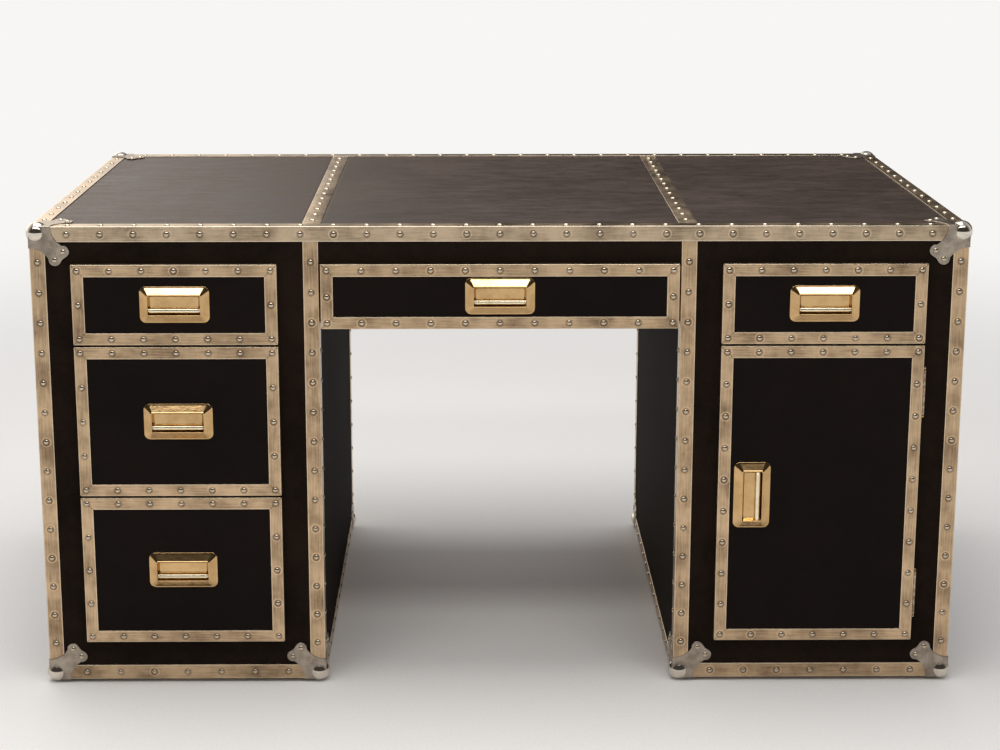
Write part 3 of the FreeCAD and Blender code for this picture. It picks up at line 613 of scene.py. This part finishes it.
HINGE = metal("hinge_brass", aged)
PLATE = metal("plate_steel", plated)
CATCH = finish("catch_plastic", moulded)

# %% [markdown]
# ## The section of an angle
# The edging is folded strip: a crisp but not sharp outer corner, and legs whose edges have been eased so
# that they don't cut. That small rounding matters more than anything else on the desk, since it is what
# draws the bright line along every edge. The outline has arcs where the metal turns, and a point just
# beyond each arc on the outside keeps the flat of the leg flat when it is shaded smooth.

# %% Outline of an angle
THICK = 1.5 * MM
FOLD = 1.15 * MM
EASE = 0.45 * MM
HOLD = 0.35 * MM


def angle_outline(leg_a, leg_b):
    """Closed outline of an angle, (n, 2) distances from its outer corner along its two legs."""
    a, b = leg_a - EASE, leg_b - EASE
    inner = THICK - EASE
    return np.concatenate([
        [(0, FOLD + HOLD)], arc((FOLD, FOLD), FOLD, 180, 270, 6), [(FOLD + HOLD, 0), (a - HOLD, 0)],
        arc((a, EASE), EASE, 270, 360, 4), arc((a, inner), EASE, 0, 90, 4), [(THICK, THICK)],
        arc((inner, b), EASE, 0, 90, 4), arc((EASE, b), EASE, 90, 180, 4), [(0, b - HOLD)],
    ])


LEG = 25 * MM
print(len(angle_outline(LEG, LEG)), "points round an angle")

# %% [markdown]
# ## Bars of edging
# Each bar of the frame is read for its two ends and its outer corner, the outline is carried from end to
# end, and the first rivet and the pitch are read from the rivets that sit on the bar, so that the dishes
# of the metal lie under the heads.

# %% Bars of angle
BAR_SIZE = 40 * MM
NEAR = 0.6 * MM
CLOSE_PAIR = 5 * MM


def rhythm(row):
    """First place and pitch of a row of rivets."""
    row = np.sort(row)
    gaps = np.diff(row)
    gaps = gaps[gaps > CLOSE_PAIR]
    return (row[0], gaps.min()) if len(gaps) else (0.0, 1.0)


def angle_bars(node):
    """Every angle bar of a node: its outline at both ends, with its outer corner nearest the points' mean."""
    outline = angle_outline(LEG, LEG)
    bars = []
    for points in SOLIDS[node]:
        low, high = points.min(0), points.max(0)
        along = (high - low).argmax()
        if (high - low)[along] < BAR_SIZE:
            continue
        sides = [k for k in range(3) if k != along]
        nearer = points.mean(0) < (low + high) / 2
        corner, sign = np.where(nearer, low, high), np.where(nearer, 1.0, -1.0)
        off = np.abs(ALL_SEATS - corner)[:, sides]
        inside = (ALL_SEATS[:, along] > low[along]) & (ALL_SEATS[:, along] < high[along])
        on_line = inside & (off.min(1) < NEAR) & (np.abs(off.max(1) - RIVET_LINE) < NEAR)
        first, beat = rhythm(ALL_SEATS[on_line, along])
        rings = np.empty((2, len(outline), 3))
        for k, side in enumerate(sides):
            rings[:, :, side] = corner[side] + sign[side] * outline[:, k]
        rings[:, :, along] = np.array([low[along], high[along]])[:, None]
        own = np.empty_like(rings)
        own[..., 0] = rings[:, :, along] - first
        own[..., 1:] = outline
        bars.append(part(rings, own, beat))
    return bars


for node in ("top_edge_angles", "left_corner_angles", "right_corner_angles", "left_base_angles",
             "right_base_angles"):
    material = TOP_EDGING if node == "top_edge_angles" else EDGING
    dress(node.replace("angles", "edging"), angle_bars(node), material, node)

# %% [markdown]
# ## Rivets
# There are hundreds of heads, so each is a few dozen faces: four rings of a low dome, with a short skirt
# where it stands on the metal. The dome is turned from +Z to the direction of its seat by building two
# axes across that direction. The same function serves every node, so a drawer's rivets ride with it.

# %% Rivet heads
HEAD_RINGS = np.array([(4.25, 0.0), (4.05, 0.62), (2.95, 1.55), (1.25, 2.13)]) * MM
HEAD_SIDES = 12


def rivet_heads(node):
    """Heads on all seats of a node: a dome's rings, turned about its seat's direction."""
    flat = HEAD_RINGS[:, None, :1] * circle(HEAD_SIDES)
    heads = []
    for seat, up in zip(*SEATS[node]):
        across = np.roll(up, 1)
        beside = np.cross(up, across)
        rings = seat + flat[..., :1] * across + flat[..., 1:] * beside + HEAD_RINGS[:, None, 1:] * up
        heads.append(part(rings))
    return heads


for node in ("desktop_rivets", "left_pedestal_rivets", "right_pedestal_rivets"):
    dress(node + "_heads", rivet_heads(node), RIVET_WITH_REFLECTION, node)

# %% [markdown]
# ## Straps
# Two flat strips hold down the joints of the desktop's leather. A strip is a long board to a computer: a
# rounded rectangle carried from end to end, with the last half millimetre drawn in to ease the ends. The
# boards of the drawers are made by the same function later.

# %% A bar of any section with eased ends
DRAWN_IN = 0.6


def stick(low, high, round_off, along=None, shift=(0, 0, 0), beat=1.0):
    """Block between two corners: a rounded rectangle carried along its longest side, or the one given.

    Each end is narrower by the share DRAWN_IN of the rounding, over a length of one rounding.
    """
    low, high = np.array(low), np.array(high)
    size = high - low
    along = size.argmax() if along is None else along
    sides = [k for k in range(3) if k != along]
    stations = np.array([low[along], low[along] + round_off, high[along] - round_off, high[along]])
    draws = (round_off, 0, 0, round_off)
    outlines = np.stack([round_rectangle(*(size[sides] - DRAWN_IN * draw), round_off) for draw in draws])
    rings = np.empty((*outlines.shape[:2], 3))
    rings[..., sides] = (low + high)[sides] / 2 + outlines
    rings[..., along] = stations[:, None]
    order = [along, *sides]
    return part(rings, (rings - low)[..., order] - np.array(shift), beat)


STRAP_LINE = 15 * MM
STRAP = metal("strap_aluminium", aluminium(STRAP_LINE, 1.2 * MM, *PALE_WITH_REFLECTION))
strips = []
for points in SOLIDS["desktop_straps"]:
    low, high = points.min(0), points.max(0)
    middle = (low[0] + high[0]) / 2
    on_strip = (np.abs(ALL_SEATS[:, 0] - middle) < NEAR) & (np.abs(ALL_SEATS[:, 2] - high[2]) < NEAR)
    first, beat = rhythm(ALL_SEATS[on_strip, 1])
    strips.append(stick(low, high, EASE, along=1, shift=(first - low[1], 0, 0), beat=beat))
dress("straps", strips, STRAP, "desktop_straps")

# %% [markdown]
# ## Mitred frames of the fronts
# Each front wears a picture frame of narrow angle, mitred at the corners. A mitre needs no cutting here:
# a point that lies further in from the outer edge simply starts later and stops sooner along the side. A
# hand-cut mitre never closes quite, so both strips stop a hair short, which draws the dark diagonal line.

# %% Edging of the fronts
EDGING_FACE = 20 * MM
MITRE_GAP = 0.45 * MM
RETURN_SHARE = 0.25
DRAWERS = ["left_top_drawer", "left_middle_drawer", "left_bottom_drawer", "centre_drawer", "right_drawer"]
FRONTS = [*DRAWERS, "door"]


def panel_of(name):
    """Node of the board behind a front."""
    return "door_panel" if name == "door" else name + "_front"


board_low, board_high = corners_of("centre_drawer_front")
BOARD_DEPTH = (board_high - board_low)[1]


def mitred_frame(name):
    """Four mitred strips round a front: a point at an inset runs from that inset to the length less it.

    A strip's own length starts at its first rivet.
    """
    low, high = corners_of(panel_of(name))
    front = low[1] - THICK
    xa, xb, za, zb = low[0] - THICK, high[0] + THICK, low[2] - THICK, high[2] + THICK
    corners = np.array([(xa, za), (xb, za), (xb, zb), (xa, zb)])
    outline = angle_outline(EDGING_FACE, BOARD_DEPTH + THICK)
    inset, deep = outline.T
    seats = SEATS[name + "_edging"][0]
    strips = []
    for start, end in zip(corners, np.roll(corners, -1, 0)):
        length = np.linalg.norm(end - start)
        ahead = (end - start) / length
        inward = np.array([-ahead[1], ahead[0]])
        along = np.stack([inset + MITRE_GAP, length - inset - MITRE_GAP])
        plane = start + along[..., None] * ahead + inset[:, None] * inward
        rings = np.stack([plane[..., 0], np.broadcast_to(front + deep, along.shape), plane[..., 1]], -1)
        off = (seats[:, [0, 2]] - start) @ inward
        first, beat = rhythm((seats[:, [0, 2]] - start)[np.abs(off - FRONT_LINE) < NEAR] @ ahead)
        own = np.empty_like(rings)
        own[..., 0] = along - first
        own[..., 1] = inset
        own[..., 2] = deep * RETURN_SHARE
        strips.append(part(rings, own, beat))
    return strips


for name in FRONTS:
    dress(name + "_frame", mitred_frame(name), FRONT_EDGING, name + "_edging")
    dress(name + "_rivets", rivet_heads(name + "_edging"), RIVET_WITH_REFLECTION, body=name)
dress("apron_bar", angle_bars("apron_edging"), EDGING, "apron_edging")
dress("apron_rivets", rivet_heads("apron_edging"), RIVET_WITH_REFLECTION, body="carcass")

# %% [markdown]
# ## Corner fittings
# A corner fitting is a ball that takes the knocks, with three plates folded back over the faces, each held
# by two rivets. A plate is drawn as rings that shrink from its outline towards its middle. Its outline has
# three kinds of edge, and each kind has its own table of how far in a ring lies and how high: a free edge is
# rolled over, a fold bends on to the next plate and stops on the diagonal between them, and the seat runs
# round the ball, where a hollow fillet climbs to meet it.

# %% Outline of a corner plate
PLATE_THICK = 1.2 * MM
PLATE_RUN = 35 * MM
PLATE_MIDDLE = np.array((35.0, 35.0)) * MM
LOBES = np.array([(54.0, 40.5), (40.5, 54.0)]) * MM
LOBE_RADIUS = 9.8 * MM
HOLLOW = np.array((35.0, 19.5)) * MM
BALL_INSET = 11 * MM
BALL_RADIUS = 17.3 * MM
FOLD_START = 16.2 * MM
SEAT_RADIUS = 9.5 * MM
NOTCH_REACH = 8.1 * MM
VALLEY_SHARES = np.array([0.4, 0.8, 0.96])[:, None]
SEAT_TURN = (41, -20)
LOBE_TURN = (-98, 60)
EDGE_RINGS = {
    "free": np.array([(0.0, 0.0), (0.0, 0.6), (0.15, 0.92), (0.5, 1.2), (1.0, 1.3), (1.9, 1.2)]) * MM,
    "fold": np.array([(1.2, 0.0), (0.586, 0.614), (1.0, 0.932), (1.48, 1.132), (2.0, 1.2), (2.8, 1.2)]) * MM,
    "seat": np.array([(0.0, 0.0), (0.0, 1.2), (1.3, 1.2), (1.8, 1.2), (2.4, 1.2), (3.1, 1.2)]) * MM,
}
INNER_SHARES = np.array((0.96, 0.92, 0.87, 0.82, 0.76, 0.7, 0.62, 0.53, 0.43, 0.31, 0.18, 0.05))


def plate_outline():
    """Outline of a plate and the kind of edge at each point: one half, then its mirror image.

    The seat and the lobe are arcs, and the hollow edge between fold and lobe is a quadratic curve.
    """
    seat = arc((BALL_INSET, BALL_INSET), SEAT_RADIUS, *SEAT_TURN, 7)
    along = np.linspace(FOLD_START, PLATE_RUN - 0.5 * MM, 8)
    fold = np.column_stack([along, np.full(8, -PLATE_THICK)])
    bend = seat[-1:] * 0.55 + fold[:1] * 0.45
    lobe = arc(LOBES[0], LOBE_RADIUS, *LOBE_TURN, 18)
    start = np.array((PLATE_RUN, -PLATE_THICK))
    share = np.linspace(0, 1, 12)[:-1, None]
    slant = start * (1 - share) ** 2 + HOLLOW * 2 * share * (1 - share) + lobe[0] * share ** 2
    notch = LOBES.mean(0) + NOTCH_REACH / math.sqrt(2)
    valley = lobe[-1] + (notch - lobe[-1]) * VALLEY_SHARES
    half = np.concatenate([seat, bend, fold, slant, lobe, valley])
    free = len(slant) + len(lobe) + len(valley)
    kinds = ["seat"] * (len(seat) + 1) + ["fold"] * len(fold) + ["free"] * free
    return np.concatenate([half, half[::-1, ::-1]]), kinds + kinds[::-1]


print(len(plate_outline()[1]), "points round a plate")

# %% [markdown]
# ## Height of a plate
# The fillet is a quarter circle that touches the ball and the plate, and it fades out at the folds, where
# two plates have to meet exactly. Round each rivet the plate is dished a little, and a small dimple marks
# its middle. Rings shrink in proportion, so a fold's own distance is measured straight across it.

# %% Rings of a plate
FILLET = 3.5 * MM
FADE = 4 * MM
UNDER_BALL = 0.3 * MM
DISHES = [(LOBES[0], 6.0 * MM, 0.4 * MM), (LOBES[1], 6.0 * MM, 0.4 * MM),
          (PLATE_MIDDLE, 3.5 * MM, 0.5 * MM)]


def fillet_height(flat):
    """Extra height near the ball of points (..., 2) of a plate: r - sqrt(r^2 - d^2) at d inside its foot.

    It stays a little under the ball's own surface, and it fades out towards both folds.
    """
    away = np.linalg.norm(flat - BALL_INSET, axis=-1)
    reach = BALL_RADIUS + FILLET
    foot = math.sqrt(reach ** 2 - (BALL_INSET + PLATE_THICK + FILLET) ** 2)
    into = np.clip(foot - away, 0, 0.98 * FILLET)
    climb = FILLET - np.sqrt(FILLET ** 2 - into ** 2)
    sphere = np.sqrt(np.clip(BALL_RADIUS ** 2 - away ** 2, 0, None))
    under = sphere - BALL_INSET - PLATE_THICK - UNDER_BALL
    fade = np.clip((flat + PLATE_THICK) / FADE, 0, 1)
    fade = (fade * fade * (3 - 2 * fade)).prod(-1)
    return np.where(away > foot * BALL_RADIUS / reach, climb, np.minimum(climb, under)) * fade


def plate_rings():
    """Rings (m, n, 3) of a plate: two distances along the desk's face, and the height above it."""
    outline, kinds = plate_outline()
    inset, height = np.array([EDGE_RINGS[kind].T for kind in kinds]).transpose(1, 2, 0)
    reach = np.linalg.norm(outline - PLATE_MIDDLE, axis=1)
    span = np.where(np.array(kinds) == "fold", PLATE_MIDDLE[0] + PLATE_THICK, reach)
    shares = 1 - inset / span
    shares = np.concatenate([shares, INNER_SHARES[:, None] * shares[-1]])
    height = np.concatenate([height, np.full((len(INNER_SHARES), len(outline)), PLATE_THICK)])
    flat = PLATE_MIDDLE + shares[..., None] * (outline - PLATE_MIDDLE)
    height[1:] += fillet_height(flat[1:])
    for middle, width, depth in DISHES:
        away = np.linalg.norm(flat[4:] - middle, axis=-1)
        height[4:] -= depth * np.exp(-2 * (away / width) ** 2) * np.clip(1.02 - shares[4:] ** 8, 0, 1)
    return np.concatenate([flat, height[..., None]], -1)


print("a plate has", *plate_rings().shape[:2], "rings and points in each")

# %% [markdown]
# ## Twelve fittings
# The rings are made once for a corner at the origin. A cyclic swap of the axes turns one plate into the
# next, and a sign on each axis turns the fitting to its corner. The ball's points crowd towards the desk's
# corner, so the median of a solid's points tells which way it faces.

# %% Fittings at the corners of a node
BALL_RINGS = np.radians(np.linspace(-88, 88, 21))
BALL_SIDES = 36


def ball():
    """Rings of a sphere at a fitting's place: at each angle a circle of its cosine, as high as its sine."""
    rings = [lifted(np.cos(angle) * circle(BALL_SIDES), np.sin(angle)) for angle in BALL_RINGS]
    return BALL_INSET + BALL_RADIUS * np.stack(rings)


def fittings(node):
    """Balls and plates of a node's fittings."""
    plate, sphere = plate_rings(), ball()
    balls, plates = [], []
    for points in solids(node):
        low, high = points.min(0), points.max(0)
        nearer = np.median(points, axis=0) < (low + high) / 2
        sign = np.where(nearer, 1.0, -1.0)
        corner = np.where(nearer, low, high) + sign * (BALL_RADIUS - BALL_INSET)
        balls.append(part(corner + sign * sphere))
        for axis in range(3):
            rings = np.empty_like(plate)
            rings[..., (axis + 1) % 3] = plate[..., 0]
            rings[..., (axis + 2) % 3] = plate[..., 1]
            rings[..., axis] = -plate[..., 2]
            plates.append(part(corner + sign * rings))
    return balls, plates


for node in ("top_corner_fittings", "foot_corner_fittings"):
    balls, plates = fittings(node)
    dress(node.replace("fittings", "plates"), plates, SATIN, node)
    dress(node.replace("fittings", "balls"), balls, POLISHED_WITH_REFLECTION, body="carcass")

# %% [markdown]
# ## Recessed pulls
# A pull is a bevelled tray. From outside in: a thin upright edge, a narrow flat lip, a wide bevel up to the
# rim, the rim's rounded top, steep inner walls and a flat floor for the fingers. All of that is one table
# of rounded rectangles, each with its length, height, corner and distance from the leather. Extra rings
# close to each fold keep the faces between them flat, so that they mirror cleanly.

# %% The tray
TRAY = np.array([
    (109.0, 57.0, 8.5, 0.0), (112.0, 60.0, 10.0, 0.0), (112.0, 60.0, 10.0, 0.8), (111.6, 59.6, 9.8, 1.3),
    (110.8, 58.8, 9.4, 1.6), (108.2, 56.2, 8.1, 1.9), (107.2, 55.2, 7.6, 2.2), (87.6, 35.6, 2.8, 9.2),
    (86.6, 34.6, 2.5, 9.8), (85.2, 33.2, 2.3, 10.0), (84.0, 32.0, 2.1, 9.8), (83.2, 31.2, 2.0, 9.2),
    (78.6, 27.6, 2.2, 2.8), (77.4, 26.4, 2.0, 1.8), (75.6, 24.6, 1.8, 1.4), (40.0, 3.0, 1.0, 1.4),
]) * MM
LONG_STEP = 3 * MM
FOLD_HOLD = 0.5 * MM


def held(rows, hold):
    """The rows of a table with two more in each long step, a little way in from its ends."""
    found = [rows[:1]]
    for a, b in zip(rows, rows[1:]):
        step = np.linalg.norm((b - a)[[0, 3]] * (0.5, 1))
        if step > LONG_STEP:
            found += [[a + (b - a) * hold / step], [b - (b - a) * hold / step]]
        found.append([b])
    return np.concatenate(found)


def firm_rectangle(length, height, radius, steps=7):
    """Rounded rectangle with a point just before and after each corner, to keep its sides straight."""
    outline = round_rectangle(length, height, radius, steps).reshape(4, steps, 2)
    ahead = np.array([(1, 0), (0, 1), (-1, 0), (0, -1)])
    before = outline[:, :1] - FOLD_HOLD * np.roll(ahead, -1, 0)[:, None]
    after = outline[:, -1:] - FOLD_HOLD * ahead[:, None]
    return np.concatenate([before, outline, after], 1).reshape(-1, 2)


def tray():
    """Rings of a pull's casing, facing +Z, from its back to the middle of its floor."""
    return np.stack([lifted(firm_rectangle(*row[:3]), row[3]) for row in held(TRAY, FOLD_HOLD)])


print(len(tray()), "rings make a tray")

# %% [markdown]
# ## Grip bars
# A round bar is fixed across each tray, with a thinner neck at both ends. It is a circle carried along a
# line, with a radius for each station. It is a piece of its own, because its finish differs from the
# tray's. Both are made lying flat, and then turned to the front that they belong to, on end on the door.

# %% The bar, and the six pulls
BAR_RADIUS = 3.8 * MM
BAR_DROP = 8.6 * MM
BAR_STAND = 5.8 * MM
BAR_REACH = 41.0 * MM
BAR_NECK = 3.3 * MM
BAR_SIDES = 28
NECK_STATIONS = np.array([
    (0.0, BAR_NECK), (1.6 * MM, BAR_NECK), (2.2 * MM, BAR_RADIUS), (3.0 * MM, BAR_RADIUS),
])


def grip_bar():
    """Rings of the grip bar: a circle carried across the tray, with a neck at each end."""
    station, radius = NECK_STATIONS.T
    run = np.concatenate([station - BAR_REACH, BAR_REACH - station[::-1]])
    radius = np.concatenate([radius, radius[::-1]])
    rings = np.empty((len(run), BAR_SIDES, 3))
    rings[..., 0] = run[:, None]
    rings[..., 1:] = radius[:, None, None] * circle(BAR_SIDES) + (-BAR_DROP, BAR_STAND)
    return rings


def on_front(rings, node, upright):
    """Rings of a pull turned from +Z to the front and moved to the middle of its node's box."""
    low, high = corners_of(node)
    x, y, w = np.moveaxis(rings, -1, 0)
    right, up = (-y, x) if upright else (x, y)
    middle = (low + high) / 2
    return np.stack([middle[0] + right, high[1] - w, middle[2] + up], -1)


for name in FRONTS:
    node = name + "_pull"
    upright = name == "door"
    casing, bar = (part(on_front(rings, node, upright), rings) for rings in (tray(), grip_bar()))
    dress(name + "_recessed_pull", [casing], BRASS, node)
    dress(name + "_grip_bar", [bar], GRIP_PAINTED_HIGHLIGHT, body=BODY_OF[node])

# %% [markdown]
# ## Leather on the desktop
# Three sheets lie between the metal strips. Leather is soft: where nothing presses it, it stands a little
# proud, and it rolls down to the metal over a few millimetres. That roll is what catches the light beside
# each strap. The middle of a sheet is flat, so one face is enough for it.

# %% The three sheets
ROLL = np.array([
    (-5.0, -1.8), (-5.0, -0.3), (0.0, -0.3), (0.5, -0.2), (1.6, -0.07), (3.2, -0.01), (4.0, 0.0),
]) * MM
FIELD_CORNER = 3 * MM
STRAP_GAP = 0.5 * MM
LEVEL = 0.1 * MM
sheets = []
points = np.concatenate(solids("desktop_leather"))
top = points[:, 2].max()
field = points[points[:, 2] > top - LEVEL]
straps = sorted((p[:, 0].min() - STRAP_GAP, p[:, 0].max() + STRAP_GAP) for p in SOLIDS["desktop_straps"])
sides = np.array([field[:, 0].min(), *np.ravel(straps), field[:, 0].max()])
for left, right in sides.reshape(-1, 2):
    low, high = np.array([left, field[:, 1].min()]), np.array([right, field[:, 1].max()])
    rings = []
    for inset, drop in ROLL:
        outline = round_rectangle(*(high - low - 2 * inset), max(FIELD_CORNER - inset, MM))
        rings.append(lifted(outline + (low + high) / 2, top + drop))
    sheets.append(part(np.stack(rings)))
dress("desktop_sheets", sheets, TOP_LEATHER, "desktop_leather")

# %% [markdown]
# ## Boards inside
# Drawer boxes, runners and the shelf show when the desk is opened. Each is a plain board with its edges
# eased by a stroke of sandpaper, made by the same function as the straps. Every board is shifted along the
# pattern of the grain by its own amount, from a fixed seed, because no two boards come from one place.

# %% Boards as eased sticks
grain = np.random.default_rng(7)
BOARD_EASE = 0.8 * MM
BOX_TRIANGLES = 12


def boards(node, ease=BOARD_EASE):
    """Eased board for each box of a node, twelve triangles at a time, with its own place in the grain."""
    points, triangles = triangles_of(node)
    found = []
    for box in points[triangles].reshape(-1, BOX_TRIANGLES * 3, 3):
        low, high = box.min(0), box.max(0)
        found.append(stick(low, high, min(ease, (high - low).min() / 3), shift=grain.uniform(-1, 1, 3)))
    return found


for name in DRAWERS:
    dress(name + "_boards", boards(name + "_box"), DRAWER_WOOD, name + "_box")
dress("runner_strips", boards("drawer_runners"), RUNNER_WOOD, "drawer_runners")
for node in ("cupboard_shelf", "cupboard_ceiling"):
    dress(node + "_board", boards(node), BOARD_WOOD, node)

# %% [markdown]
# ## Leathered rails
# The rail over the centre drawer and the apron at the back are a board with leather on its outer face. The
# sheet is the thinner of the two solids, so the two are told apart by their depth.

# %% Rail and apron
RAIL_EASE = 0.4 * MM
for node in ("centre_rail", "back_apron"):
    board, sheet = sorted(boards(node, RAIL_EASE), key=lambda p: -np.ptp(p["points"][:, 1]))
    dress(node + "_leather", [sheet], SIDE_LEATHER, node)
    dress(node + "_board", [board], BOARD_WOOD, body="carcass")

# %% [markdown]
# ## Finishes for the frame's own nodes
# What already has its right shape keeps it, and gets a finish: the carcass boards with the grain down
# their length, the leather on the pedestals, the fronts, and the small hardware.

# %% Finishes by node
KEPT = {"desktop_board": WOOD_ALONG_X, "door_hinge_leaves": HINGE, "frame_hinge_leaves": HINGE,
        "hinge_pins": BRASS, "shelf_supports": PLATE, "strike_plate": PLATE, "door_catch": CATCH}
UPRIGHT_BOARDS = ("_outer_side", "_inner_side", "_back", "_face_frame")
for side in ("left", "right"):
    KEPT.update({side + board: WOOD_ALONG_Z for board in UPRIGHT_BOARDS})
    KEPT.update({side + "_base": WOOD_ALONG_X, side + "_leather": SIDE_LEATHER})
KEPT.update({panel_of(name): FRONT_LEATHER for name in FRONTS})
for node, material in KEPT.items():
    mesh = frame["nodes"][node].data
    mesh.materials.clear()
    mesh.materials.append(material)
bare = [n for n, o in frame["nodes"].items() if not o.hide_render and n not in KEPT]
print("finished", len(KEPT), "nodes, left", bare)

# %% [markdown]
# ## The floor
# The desk stands on a plain pale floor that fades into a white ground, so that nothing competes with it.
# More light would whiten the floor too, but it would wash out the desk. So the fade is a glow that only
# rays see that come straight from the camera, or by way of a mirror or glass. The light that falls on the
# desk comes from real lamps and a moderate sky.

# %% A floor that fades out
FLOOR_COLOUR = (0.80, 0.775, 0.74)
FLOOR_SPECK = tuple(c * 1.05 for c in FLOOR_COLOUR)
FLOOR_FADE = (0.9, 3.8)
GROUND = (0.93, 0.92, 0.90)
FLOOR_RADIUS = 40.0
FLOOR_THICK = 0.1


def seen(t):
    """1 for rays that look straight or by a mirror or glass, 0 for those that gather light."""
    rays = t.node("LightPath", {}, {}, "Is Camera Ray")
    outputs = rays.socket.node.outputs
    mirror, glass = (Wire(t.tree, outputs[name]) for name in ("Is Glossy Ray", "Is Transmission Ray"))
    return t.math("ADD", rays + mirror, glass, clamp=True)


def paving(t):
    """Pale floor with a faint speckle."""
    speck = place(t).noise(220.0, 3.0).between(0.3, 0.7)
    return {"Base Color": speck.paint(FLOOR_COLOUR, FLOOR_SPECK)}


rim = FLOOR_RADIUS * circle(64)
disc = part(np.stack([lifted(rim, -FLOOR_THICK), lifted(rim, 0.0)]))
floor = bpy.data.objects.new("floor", mesh_of("floor", [disc]))
bpy.context.scene.collection.objects.link(floor)
floor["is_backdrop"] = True
FLOOR = finish("floor", paving, Roughness=0.75)
floor.data.materials.append(FLOOR)
tree = FLOOR.node_tree
t = Wire(tree)
matt = Wire(tree, tree.nodes["Principled BSDF"].outputs[0])
distance = t.node("VectorMath", {"operation": "LENGTH"}, {0: place(t)}, "Value")
glow = t.node("Emission", {}, {"Color": (*GROUND, 1), "Strength": 1.0})
mixed = t.node("MixShader", {}, {0: distance.between(*FLOOR_FADE) * seen(t), 1: matt, 2: glow})
tree.links.new(mixed.socket, tree.nodes["Material Output"].inputs["Surface"])
print("the floor fades out between", *FLOOR_FADE, "m")

# %% [markdown]
# ## What the metal mirrors
# Polished metal has little colour of its own and shows the room that it stands in, so a room has to be
# there: dark in front of the desk, with a bright window behind it on the left, a dark wall behind it on the
# right, a pale ground and a grey ceiling. Each is a mask on the direction of the ray. Only rays that come
# by a mirror or glass see this room. The camera sees the plain ground, and the desk is lit by an even grey.

# %% The sky
WINDOW = (1.75, 1.62, 1.46)
WALL = (0.05, 0.04, 0.035)
CEILING = (0.40, 0.40, 0.41)
DARK_ROOM = (0.05, 0.045, 0.04)
EVEN_GREY = (0.50, 0.50, 0.52)
sky = bpy.data.worlds.new("sky")
sky.use_nodes = True
bpy.context.scene.world = sky
t = Wire(sky.node_tree)
direction = t.node("TexCoord", {}, {}, "Generated")
right, ahead, up = (direction.node("SeparateXYZ", {}, {"Vector": direction}, axis) for axis in "XYZ")
front = (0.35 - ahead).between(0.0, 0.9) * (1 - t.math("ABSOLUTE", up - 0.30).between(0.45, 0.54))
behind = ahead.between(0.1, 0.6) * (1 - up.between(0.45, 0.8))
mirrored = up.between(0.45, 0.95).paint(GROUND, CEILING)
mirrored = behind.paint(mirrored, right.between(-0.25, 0.0).paint(WINDOW, WALL))
mirrored = front.paint(mirrored, DARK_ROOM)
straight = t.node("LightPath", {}, {}, "Is Camera Ray")
shown = straight.paint(seen(t).paint(EVEN_GREY, mirrored), GROUND)
background = sky.node_tree.nodes["Background"]
background.inputs["Strength"].default_value = 1.0
sky.node_tree.links.new(shown.socket, background.inputs["Color"])
print("sky from", len(sky.node_tree.nodes), "nodes")

# %% [markdown]
# ## Lamps
# Four area lamps light the desk. A broad one hangs overhead. A long narrow skylight hangs in front, where
# it lays a bright line on every upward edge and lies mirrored in the upper bevels of the pulls. A window
# stands on the left, and a weak fill on the right opens the dark leather. An area lamp shines along its own
# -Z, so it is tipped and turned until that points at its target.

# %% Four lamps
def lamp(name, at, towards, size, power, colour=(1, 1, 1)):
    """Oblong area lamp that faces a point: tipped by the ray's angle from straight down, then turned."""
    light = bpy.data.lights.new(name, "AREA")
    light.shape = "RECTANGLE"
    light.size, light.size_y = size
    light.energy = power
    light.color = colour
    made = bpy.data.objects.new(name, light)
    made.location = at
    ray = np.array(towards) - np.array(at)
    made.rotation_euler = (math.acos(-ray[2] / np.linalg.norm(ray)), 0, math.atan2(ray[0], -ray[1]))
    bpy.context.scene.collection.objects.link(made)
    print(name, power, "W")


lamp("overhead", (-0.3, 0.1, 2.6), (-0.3, 0.1, 0), (2.4, 1.6), 50)
lamp("skylight", (-0.2, -1.575, 2.6), (-0.2, -1.575, 0), (3.4, 0.45), 26)
lamp("left_window", (-3.4, -2.2, 1.9), (0, 0, 0.5), (1.6, 2.2), 45, (1, 0.97, 0.93))
lamp("right_fill", (3.2, -2.6, 1.5), (0, 0, 0.4), (1.5, 1.5), 18)

# %% [markdown]
# ## Finish
# The picture is kept plain: the standard view, no exposure tricks. The bounds of the dressed desk are
# measured.

# %% Measure the dressed desk
bpy.context.scene.view_settings.view_transform = "Standard"
low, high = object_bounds()
